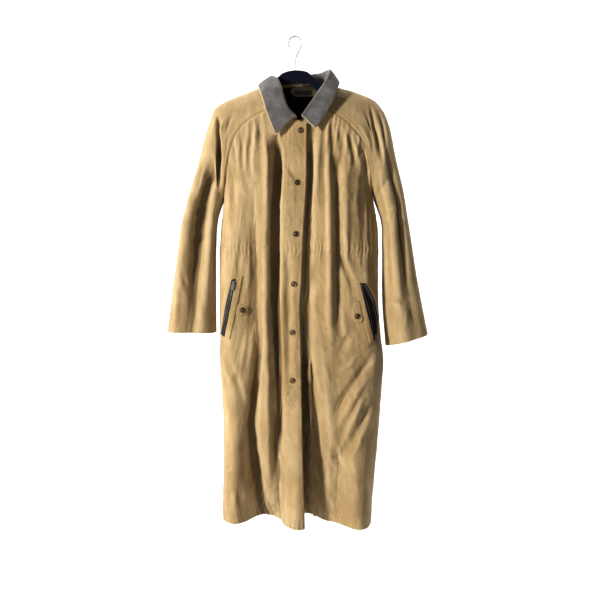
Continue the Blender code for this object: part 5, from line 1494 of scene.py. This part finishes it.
def weave(nodes, uv, thread):
    """Height of a plain weave: threads over and under each other."""
    parts = nodes.add("ShaderNodeSeparateXYZ")
    nodes.link(uv, parts.inputs[0])
    turn = math.pi / thread
    warp = nodes.math("SINE", nodes.math("MULTIPLY", parts.outputs[0], turn))
    weft = nodes.math("SINE", nodes.math("MULTIPLY", parts.outputs[1], turn))
    return nodes.math("MULTIPLY", warp, weft)


def canvas_material(name, colour, deep, worn):
    nodes = Nodes(name)
    uv = nodes.uv()
    place = nodes.place()
    blotch = nodes.noise(place, 13.0, 5.0, 0.62)
    fade = nodes.noise(place, 3.2, 2.0)
    slubs = nodes.noise(nodes.scaled(uv, 1400.0, 90.0, 1.0), 1.0, 2.0)
    speck = nodes.noise(uv, 1500.0, 2.0)
    base = nodes.mix(nodes.span(blotch, 0.40, 0.60), deep, colour)
    base = nodes.mix(nodes.span(fade, 0.42, 0.66, 0.0, 0.45), base, worn)
    streaks = nodes.noise(nodes.scaled(place, 60.0, 60.0, 7.0), 1.0, 3.0)
    base = nodes.mix(nodes.span(streaks, 0.30, 0.50, 0.45, 0.0), base, deep)
    base = nodes.mix(nodes.span(streaks, 0.55, 0.75, 0.0, 0.40), base, worn)
    crinkle = nodes.add("ShaderNodeTexNoise", noise_type="RIDGED_MULTIFRACTAL", Scale=17.0, Detail=3.0)
    nodes.link(nodes.scaled(place, 1.5, 1.0, 0.55), crinkle.inputs["Vector"])
    crinkles = nodes.span(crinkle.outputs["Fac"], 0.55, 1.35)
    base = nodes.mix(nodes.span(crinkles, 0.55, 1.0, 0.0, 0.30), base, worn)
    base = nodes.mix(nodes.span(slubs, 0.45, 0.8, 0.0, 0.28), base, worn)
    base = nodes.mix(nodes.span(speck, 0.3, 0.75, 0.0, 0.22), base, deep)
    wear = nodes.shade("wear")
    # Worn colour on the crests, then painted shade in the creases towards the deep colour
    base = nodes.mix(nodes.span(wear, 0.15, 1.0, 0.0, 0.35), base, worn)
    base = nodes.mix(nodes.span(wear, -1.0, -0.1, 0.45, 0.0), base, deep)
    # Painted shade in the hollow places: the colour falls towards a third of the deep colour
    hollow_shade_colour = tuple(0.30 * v for v in deep)
    base = nodes.mix(nodes.span(nodes.shade("hollow"), 0.10, 0.9, 0.0, 0.72), base, hollow_shade_colour)
    nodes.feed("Base Color", base)
    nodes.feed("Roughness", nodes.span(blotch, 0.3, 0.7, 0.82, 0.95))
    nodes.set(Sheen_Weight=0.12, Sheen_Roughness=0.45, Specular_IOR_Level=0.28)
    relief = nodes.bump(nodes.noise(place, 55.0, 5.0, 0.6), 0.0022)
    relief = nodes.bump(crinkles, 0.0020, 0.9, relief)
    relief = nodes.bump(streaks, 0.0016, 0.8, relief)
    relief = nodes.bump(slubs, 0.00012, 1.0, relief)
    nodes.feed("Normal", nodes.bump(weave(nodes, uv, CANVAS_THREAD), 0.00010, 1.0, relief))
    return nodes.material


def corduroy_material():
    nodes = Nodes("corduroy")
    blotch = nodes.noise(nodes.place(), 38.0, 4.0)
    base = nodes.mix(nodes.span(blotch, 0.35, 0.68), (0.138, 0.130, 0.126), (0.240, 0.232, 0.228))
    # Painted shade in the grooves between the wales, from the wales' wave
    base = nodes.mix(nodes.span(nodes.shade("wear"), 0.0, 1.0, 0.55, 0.0), base, (0.058, 0.054, 0.052))
    nodes.feed("Base Color", base)
    nodes.set(Roughness=0.93, Sheen_Weight=0.35, Sheen_Roughness=0.4, Specular_IOR_Level=0.2)
    nodes.feed("Normal", nodes.bump(nodes.noise(nodes.uv(), 2600.0, 2.0), 0.00025))
    return nodes.material


def plain_cloth_material(name, colour, other, thread):
    nodes = Nodes(name)
    blotch = nodes.noise(nodes.place(), 60.0, 3.0)
    nodes.feed("Base Color", nodes.mix(nodes.span(blotch, 0.35, 0.65), colour, other))
    nodes.set(Roughness=0.85, Specular_IOR_Level=0.3)
    nodes.feed("Normal", nodes.bump(weave(nodes, nodes.uv(), thread), 0.00012))
    return nodes.material


def metal_material(name, colour, other, roughness, scale):
    nodes = Nodes(name)
    wear = nodes.noise(nodes.place(), scale, 4.0)
    nodes.feed("Base Color", nodes.mix(nodes.span(wear, 0.40, 0.68), colour, other))
    nodes.feed("Roughness", nodes.span(wear, 0.3, 0.7, roughness, roughness + 0.2))
    nodes.set(Metallic=1.0)
    nodes.feed("Normal", nodes.bump(wear, 0.00008))
    return nodes.material


def flock_material():
    nodes = Nodes("flock")
    place = nodes.place()
    tone = nodes.noise(place, 30.0, 3.0)
    shade = nodes.mix(nodes.span(tone, 0.35, 0.7), (0.004, 0.006, 0.016), (0.009, 0.012, 0.026))
    nodes.feed("Base Color", shade)
    nodes.set(Roughness=0.97, Sheen_Weight=0.12, Specular_IOR_Level=0.1)
    nodes.feed("Normal", nodes.bump(nodes.noise(place, 1800.0, 2.0), 0.0003))
    return nodes.material


# Thread spacing of the weaves, in metres
CANVAS_THREAD = 0.0007
FINE_THREAD = 0.0004

# Canvas and pale canvas: middle, deep and worn colours
LOOKS = {
    "canvas": canvas_material("canvas", (0.475, 0.345, 0.184), (0.365, 0.255, 0.122), (0.60, 0.47, 0.285)),
    "pale": canvas_material("pale_canvas", (0.58, 0.45, 0.28), (0.48, 0.37, 0.22), (0.72, 0.62, 0.45)),
    "corduroy": corduroy_material(),
    "thread": plain_cloth_material("thread", (0.50, 0.315, 0.125), (0.60, 0.40, 0.175), FINE_THREAD),
    "tape": plain_cloth_material("tape", (0.012, 0.012, 0.014), (0.02, 0.02, 0.022), 0.0006),
    "lining": plain_cloth_material("lining", (0.010, 0.012, 0.022), (0.016, 0.018, 0.030), 0.0005),
    "label": plain_cloth_material("label", (0.24, 0.24, 0.195), (0.20, 0.205, 0.165), FINE_THREAD),
    "brass": metal_material("antique_brass", (0.060, 0.042, 0.024), (0.21, 0.145, 0.075), 0.34, 420.0),
    "zip": metal_material("zip_metal", (0.30, 0.30, 0.31), (0.46, 0.45, 0.44), 0.30, 500.0),
    "steel": metal_material("hook_steel", (0.30, 0.30, 0.31), (0.46, 0.46, 0.47), 0.24, 160.0),
    "flock": flock_material(),
}


# The coat

# Shares of each front's width that its waist rows and its hem row cover; the placket hides the rest
WAIST_SEWN = {"right": 0.745, "left": 0.99}
HEM_SEWN = {"right": 0.77, "left": 1.0}


def sew_fronts(fronts, thread):
    for side, cloth in fronts.items():
        thread.on(cloth, *below_top(cloth, 2.3, 0.01, SEAM_SHARE - 0.004))
        for z in WAIST_STITCHES:
            thread.on(cloth, np.linspace(0.02, WAIST_SEWN[side], 400), np.full(400, below_waist(z)))
        thread.on(cloth, *above_hem(cloth, HEM_STITCH, 0.0, HEM_SEWN[side]))


def sew_sleeves(sleeves, thread):
    for cloth in sleeves.values():
        for which in ("start", "end"):
            for distance in SLEEVE_STITCHES:
                thread.on(cloth, *beside_edge(cloth, which, distance, 0.01, 0.99, 300))
        thread.on(cloth, *above_hem(cloth, CUFF_STITCH))


def sew_back(back, thread):
    for z in WAIST_STITCHES:
        thread.on(back, np.linspace(0.01, 0.99, 500), np.full(500, below_waist(z)))
    thread.on(back, *above_hem(back, HEM_STITCH))


def snap_on(name, point, n):
    turned(name + "_cap", [(r, h + 0.15) for r, h in SNAP_PROFILE], point, n, LOOKS["brass"], name)


def build_placket(front, thread):
    """The stitched band on the overlapping front's edge, with the puckers that pull at it."""
    columns = 26
    rs = spaced((0.012, 140), (1.0, 30), (1.05, 250), (1.999, 0))
    t = np.linspace(0, 1, columns)
    u = np.empty((len(rs), columns))
    for i, r in enumerate(rs):
        k = int(np.clip(np.searchsorted(front.rs, r), 0, len(front.rs) - 1))
        run = front.across[k]
        u[i] = np.interp(run[-1] - PLACKET_WIDTH * (1 - t) - 0.2 * t, run, front.us)
    r = np.repeat(rs[:, None], columns, axis=1)
    p, n = front.at(u, r)
    x = t[None, :] * PLACKET_WIDTH
    z = p[..., 2]
    rise = edge_rise(r / 2, np.broadcast_to(t, u.shape), 1100.0, PLACKET_WIDTH, TRIM, 1.8)
    for line in PLACKET_STITCHES:
        rise = rise + groove(x - line, 0.5, 1.2)
    down = np.interp(rs, front.rs, front.down[:, -1])[:, None]
    pucker = pleats(down + 0.2 * x, 9.5, 51) - 0.4
    rise = rise + 0.45 * pucker * (np.exp(-((x - 6) / 6.0) ** 2) + 0.7 * np.exp(-((x - 48) / 5.0) ** 2))
    gathers = pleats(x + 1.2 * np.sin(z / 8.0), 10.5, 52) * waist_band(z)
    rise = rise + 2.1 * gathers * ease(x / 6) * ease((PLACKET_WIDTH - x) / 6)
    slant = pleats(z * 0.62 + x * 0.9, 9.0, 53)
    rise = rise + 1.9 * slant * np.exp(-((z + 975) / 20.0) ** 2) * ease(x / 5) * ease((PLACKET_WIDTH - x) / 9)
    rise = rise + 0.8 * swell(x / 19.0, z / 60.0, 54)
    rise = rise + 1.0 * (pleats(x, 12.0, 55) - 0.4) * np.exp(-((z - HEM) / 30.0) ** 2)
    outer = p + n * rise[..., None]
    inner = p + n * 0.05
    uv = np.stack([np.broadcast_to(x, u.shape), np.broadcast_to(down, u.shape)], axis=-1) * MM
    wear = np.clip(np.broadcast_to(np.maximum(1 - (PLACKET_WIDTH - x) / 2.5, 0), u.shape), 0, 1)
    piece = shell("placket_band", outer, inner, uv, wear, LOOKS["canvas"], True)
    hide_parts("placket")
    for line in PLACKET_STITCHES:
        k = np.interp(line, x[0], np.arange(columns))
        a = int(k)
        b = k - a
        thread.row(outer[:, a] * (1 - b) + outer[:, a + 1] * b, n[:, a])
    return outer, n


# The front snaps' x, z
SNAP_PLACES = [(14, -249), (6, -385), (2, -519), (-4, -650), (-6, -780), (-7, -911)]


def set_snaps(outer, n):
    for k, (x, z) in enumerate(SNAP_PLACES):
        away = (outer[..., 0] - x) ** 2 + (outer[..., 2] - z) ** 2
        i, j = np.unravel_index(np.argmin(away), away.shape)
        zone = away < 49
        towards = unit(n[zone].mean(axis=0))
        height = ((outer[zone] - outer[i, j]) @ towards).max()
        snap_on("front_snap_%d" % (k + 1), outer[i, j] + towards * max(height * 0.5, 0), towards)


# Pocket pieces, in x, z: the two long sides of each welt and zip tape, the tabs' outlines and their snaps
WELTS = {
    "right": ([(-156, -634), (-189.6, -796)], [(-138, -630), (-174, -801)]),
    "left": ([(161, -651), (200, -810)], [(173, -648), (211, -804)]),
}
TABS = {
    "right": [
        (-153.6, -707), (-137, -706), (-127, -712), (-124, -721), (-128, -730), (-140, -736),
        (-159.4, -735),
    ],
    "left": [(158, -698), (171.6, -697), (182.6, -743), (180, -752), (168, -757), (154, -749), (152, -735)],
}
ZIPS = {
    "right": ([(-169, -640), (-188, -717), (-202, -790)], [(-156.6, -636), (-190.2, -796)]),
    "left": ([(173.6, -649), (211.6, -803)], [(188, -649), (214, -700), (224, -745), (222, -798)]),
}
TAB_SNAPS = {"right": (-140, -721), "left": (166, -737)}
# Columns of the zip tape that carry teeth, and the row where they start
TEETH = {"right": ((6, 15), 10), "left": ((3, 17), 2)}


def build_pocket(side, front, thread):
    def find(x, z):
        return front.at(*front.under(x, z))

    outer, n = strip_patch("pocket_zip_tape_" + side, front, ZIPS[side], 110, 22, 1.2, "tape",
                           "pocket_zip_" + side)
    columns, first = TEETH[side]
    for k, column in enumerate(columns):
        teeth_row("zip_teeth_%s_%d" % (side, k + 1), outer[first:-3, column], n[first:-3, column])
    outer, n = strip_patch("pocket_welt_band_" + side, front, WELTS[side], 130, 14, TRIM + 0.5, "canvas",
                           "pocket_welt_" + side, lambda s, t: 0.5 * (pleats(s * 165, 11.0, 61) - 0.4))
    for column in (1, 12):
        thread.row(outer[2:-2, column], n[2:-2, column])
    for row in (3, -4):
        thread.row(outer[row, 1:-1], n[row, 1:-1])
    rim, facings = disc_patch("pocket_tab_flap_" + side, find, TABS[side], 2.0, "canvas",
                              "pocket_tab_" + side)
    x, z = TAB_SNAPS[side]
    p, n = find(np.array([x]), np.array([z]))
    snap_on("tab_snap_" + side, p[0] + n[0] * 2.4, n[0])
    sew_round(rim, facings, 0.86, thread)


def sew_round(rim, facings, share, thread):
    """Stitches round a patch, at a share of the way from its middle to its rim."""
    middle = rim.mean(axis=0)
    up = unit(facings.mean(axis=0))
    thread.row(middle + (rim - middle) * share + up * 0.4, np.tile(up, (len(rim), 1)))


def build_collar(places):
    """Both layers of the collar. The corduroy stops short of the edge, where the canvas under it shows."""
    sections = []
    for q in np.linspace(0, 1, 701):
        rough = collar_section(places, q)
        at = run_of(rough)
        sections.append(smooth(np.column_stack([at / at[-1], rough]), np.linspace(0, 1, 34)))
    grid = np.array(sections)
    for _ in range(6):
        grid[1:-1] = (grid[:-2] + 2 * grid[1:-1] + grid[2:]) / 4
    along = np.gradient(grid, axis=0)
    across = np.gradient(grid, axis=1)
    n = np.cross(across, along)
    n /= np.linalg.norm(n, axis=2, keepdims=True)
    if n[len(grid) // 2, 14][2] < 0:
        n = -n
    run = run_of(grid[:, -1])[:, None]
    steps = np.linalg.norm(np.diff(grid, axis=1), axis=-1)
    depth = np.concatenate([np.zeros((len(grid), 1)), np.cumsum(steps, axis=1)], axis=1)
    shape = 0.8 * swell(run / 60.0, depth / 28.0, 71)
    at_edge = np.exp(-((depth[:, -1:] - depth) / 8.0) ** 2)
    shape = (shape + 0.5 * (pleats(run + 0 * depth, 14.0, 72) - 0.4) * at_edge) * ease(depth / 14.0)
    grid = grid + n * shape[..., None]
    wales = (0.5 + 0.5 * np.cos(2 * math.pi * run / WALE)) * np.ones(depth.shape)
    uv = np.stack([np.broadcast_to(run, depth.shape), depth], axis=-1) * MM
    short = (slice(4, -4), slice(None, -1))
    top = grid[short]
    up = n[short]
    outer = top + up * (1.30 + WALE_HEIGHT * wales[short])[..., None]
    # The wales' wave also goes to the corduroy as painted shade in the grooves between them
    piece = shell("collar_top_cord", outer, top + up * 0.15, uv[short], wales[short], LOOKS["corduroy"], False)
    weld(piece)
    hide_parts("collar_top")
    grid, n, uv = grid[::3], n[::3], uv[::3]
    under = shell("collar_under_canvas", grid - n * 0.1, grid - n * 1.6, uv, np.zeros(grid.shape[:2]),
                  LOOKS["pale"], False)
    weld(under)
    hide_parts("collar_under")


def inside_back(back):
    """Finds the back's inner face at x, z."""
    cover = back.rs < 0.45
    flat = (back.p - back.n * CANVAS)[cover].reshape(-1, 3)
    facings = -back.n[cover].reshape(-1, 3)

    def find(x, z):
        p = np.empty(x.shape + (3,))
        n = np.empty(x.shape + (3,))
        for k in np.ndindex(x.shape):
            away = (flat[:, 0] - x[k]) ** 2 + (flat[:, 2] - z[k]) ** 2
            near = np.argpartition(away, 6)[:6]
            w = 1 / (away[near] + 0.5)
            w = w / w.sum()
            p[k] = (x[k], (flat[near, 1] * w).sum(), z[k])
            n[k] = unit((facings[near] * w[:, None]).sum(axis=0))
        return p, n
    return find


# Outlines inside the back neck, in x, z
LINING = [(-34, -123), (62, -118.5), (62, -262), (-34, -262)]
FACING = [
    (-14, -132), (-8, -125), (4, -121.5), (38, -120.5), (52, -124), (60, -137), (48, -147), (-3, -147),
]
LABEL = [(-4, -131), (46, -131), (46, -143.5), (-4, -143.5)]


def build_neck(back, thread):
    find = inside_back(back)
    disc_patch("neck_lining_cloth", find, LINING, 0.8, "lining", "neck_lining", 3.0, 24)
    rim, facings = disc_patch("neck_facing_cloth", find, FACING, 1.0, "pale", "neck_facing", 5.0, 12, 1.1)
    sew_round(rim, facings, 0.93, thread)
    disc_patch("neck_label_blank", find, LABEL, 0.6, "label", "neck_label", 1.5, 8, 2.4)


# x, top and underside of the hanger, half thickness, for its right half; it hangs a little askew
HANGER = [
    (0, -86, -121, 6.0), (20, -88, -121, 6.0), (36, -94, -124, 6.0), (46, -103, -133, 6.0),
    (56, -112, -141, 6.0), (66, -120, -147, 6.0), (76, -128, -152, 5.8), (101, -136.5, -162, 5.5),
    (136, -148.5, -174, 5.2), (170, -161, -184, 5.0), (192, -171.5, -192, 4.6), (204, -181, -198, 4.0),
]
HANGER_END = 204
HANGER_TILT = 0.04
HOOK_WIRE = 1.5
HOOK_BEND = 17.5


def build_hanger():
    xs = np.linspace(-HANGER_END, HANGER_END, 240)
    count = 28
    angles = np.linspace(0, 2 * math.pi, count, endpoint=False)
    flat_round = np.sign(np.cos(angles)) * np.abs(np.cos(angles)) ** 0.55
    tall_round = np.sign(np.sin(angles)) * np.abs(np.sin(angles)) ** 0.8
    rings = []
    for x, (top, low, half) in zip(xs, smooth(HANGER, np.abs(xs))):
        end = ease((HANGER_END - abs(x)) / 5.0) * 0.45 + 0.55
        middle = (top + low) / 2 + x * HANGER_TILT
        tall = (top - low) / 2 * end
        ring = [np.full(count, x), half * end * flat_round, middle + tall * tall_round]
        rings.append(np.stack(ring, axis=-1))
    first, last = (np.repeat(ring.mean(axis=0)[None], count, axis=0) for ring in (rings[0], rings[-1]))
    mesh = grid_mesh("hanger_flocked", np.array([first] + rings + [last]), loop=True)
    piece = add_piece("hanger_flocked", mesh, LOOKS["flock"])
    weld(piece)
    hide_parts("hanger")


def build_hook():
    curve = bpy.data.curves.new("hook_wire", "CURVE")
    curve.dimensions = "3D"
    curve.bevel_depth = HOOK_WIRE * MM
    curve.bevel_resolution = 6
    curve.use_fill_caps = True
    path = hook_path()
    spline = curve.splines.new("POLY")
    spline.points.add(len(path) - 1)
    for point, (x, y, z) in zip(spline.points, path):
        point.co = (x * MM, y * MM, z * MM, 1.0)
    curve.materials.append(LOOKS["steel"])
    wire = bpy.data.objects.new("hanger_hook_wire", curve)
    bpy.context.scene.collection.objects.link(wire)
    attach(wire, COAT)
    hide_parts("hanger_hook")


def hook_path():
    """The wire's points: up the stem, then round the bend, with the peg's place at the origin."""
    stem = [(0, 0, -85.7), (0, 0, -72), (0.4, 0, -60), (2.6, 0, -51), (7.2, 0, -42.5), (12.4, 0, -34.0)]
    rows = [(k, *p) for k, p in enumerate(stem)]
    fine = smooth(rows, np.linspace(0, len(stem) - 1.2, 30)).tolist()
    centre_z = HOOK_WIRE - HOOK_BEND
    bend = []
    for angle in np.linspace(-18, 213, 64):
        a = math.radians(angle)
        bend.append((HOOK_BEND * math.cos(a), 0, centre_z + HOOK_BEND * math.sin(a)))
    return fine + bend


def dress_fittings():
    """The sliders and pulls keep their solids, with worn edges and metal."""
    for side in ("right", "left"):
        for name in ("zip_slider_" + side, "zip_pull_" + side):
            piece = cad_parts[name]
            piece.data.materials.clear()
            piece.data.materials.append(LOOKS["zip"])
            edge = piece.modifiers.new("edge", "BEVEL")
            edge.width = 0.25 * MM
            edge.segments = 2
            edge.limit_method = "ANGLE"


def build_coat():
    fronts = {side: front_cloth(side) for side in ("right", "left")}
    sleeves = {side: sleeve_cloth(side) for side in ("right", "left")}
    back = back_cloth()
    for side, cloth in fronts.items():
        cloth_piece(cloth, "front_cloth_" + side, "front_" + side)
    for side, cloth in sleeves.items():
        weld(cloth_piece(cloth, "sleeve_cloth_" + side, "sleeve_" + side))
    cloth_piece(back, "back_cloth", "back")
    thread = Thread()
    sew_fronts(fronts, thread)
    sew_sleeves(sleeves, thread)
    sew_back(back, thread)
    set_snaps(*build_placket(fronts["right"], thread))
    for side in ("right", "left"):
        build_pocket(side, fronts[side], thread)
    places = {"back": back_surface()[0]}
    for side in ("right", "left"):
        places["front_" + side] = front_surface(side)[0]
        places["sleeve_" + side] = sleeve_surface(side)[0]
    build_collar(places)
    build_neck(back, thread)
    thread.piece("stitching", LOOKS["thread"])
    build_hanger()
    build_hook()
    dress_fittings()


# Floor, light and camera

CAMERA = (13.2, -2100.0, -495.0)
CAMERA_DOWN = 5.549
LENS = 46.32
FLOOR = -1620.0
WALL = 3300.0
WALL_CURVE = 1200.0


def build_stage():
    """A pale floor that curves up into a wall behind the coat."""
    nodes = Nodes("pale_stage")
    tone = nodes.noise(nodes.place(), 3.0, 2.0)
    nodes.feed("Base Color", nodes.mix(nodes.span(tone, 0.3, 0.7), (0.60, 0.60, 0.60), (0.63, 0.63, 0.63)))
    nodes.set(Roughness=0.9)
    profile = [(-5000.0, FLOOR), (WALL, FLOOR)]
    for a in np.radians(range(0, 91, 6)):
        profile.append((WALL + WALL_CURVE * math.sin(a), FLOOR + WALL_CURVE * (1 - math.cos(a))))
    profile.append((WALL + WALL_CURVE, 4200.0))
    points = np.array([[(x, y, z) for x in (-6000.0, 0.0, 6000.0)] for y, z in profile])
    mesh = grid_mesh("floor", points)
    mesh.materials.append(nodes.material)
    floor = bpy.data.objects.new("floor", mesh)
    bpy.context.scene.collection.objects.link(floor)


def area_light(name, place, target, size, power, colour=(1, 1, 1)):
    data = bpy.data.lights.new(name, "AREA")
    data.shape = "RECTANGLE"
    data.size, data.size_y = size
    data.energy = power
    data.color = colour
    light = bpy.data.objects.new(name, data)
    light.location = place
    light.rotation_euler = (Vector(target) - Vector(place)).to_track_quat("-Z", "Y").to_euler()
    bpy.context.scene.collection.objects.link(light)


def build_light():
    world = bpy.data.worlds.new("studio")
    world.use_nodes = True
    background = world.node_tree.nodes["Background"]
    background.inputs["Color"].default_value = (1.0, 1.0, 1.0, 1.0)
    background.inputs["Strength"].default_value = 0.035
    bpy.context.scene.world = world
    area_light("key", (-3.35, -2.52, 0.50), (0.0, 0.0, -0.62), (0.5, 1.0), 292.0, (1.0, 0.98, 0.95))
    area_light("fill", (0.2, -2.6, 0.6), (0.0, 0.0, -0.7), (1.6, 1.6), 1.5, (0.95, 0.97, 1.0))
    for side, way in (("left", -1), ("right", 1)):
        area_light("wall_" + side, (way * 2.3, 1.0, 1.6), (way * 0.6, 4.4, -0.6), (1.2, 1.2), 170.0)
    area_light("floor_behind", (0.0, 1.2, 2.4), (0.0, 1.9, -1.6), (2.4, 1.0), 110.0)
    bpy.context.scene.view_settings.view_transform = "Standard"
    bpy.context.scene.view_settings.gamma = 0.82


def build_camera():
    data = bpy.data.cameras.new("camera")
    data.lens = LENS
    data.sensor_width = 36.0
    camera = bpy.data.objects.new("camera", data)
    camera.location = [v * MM for v in CAMERA]
    camera.rotation_euler = (math.radians(90 - CAMERA_DOWN), 0, 0)
    bpy.context.scene.collection.objects.link(camera)
    bpy.context.scene.camera = camera


build_coat()
build_stage()
build_light()
build_camera()
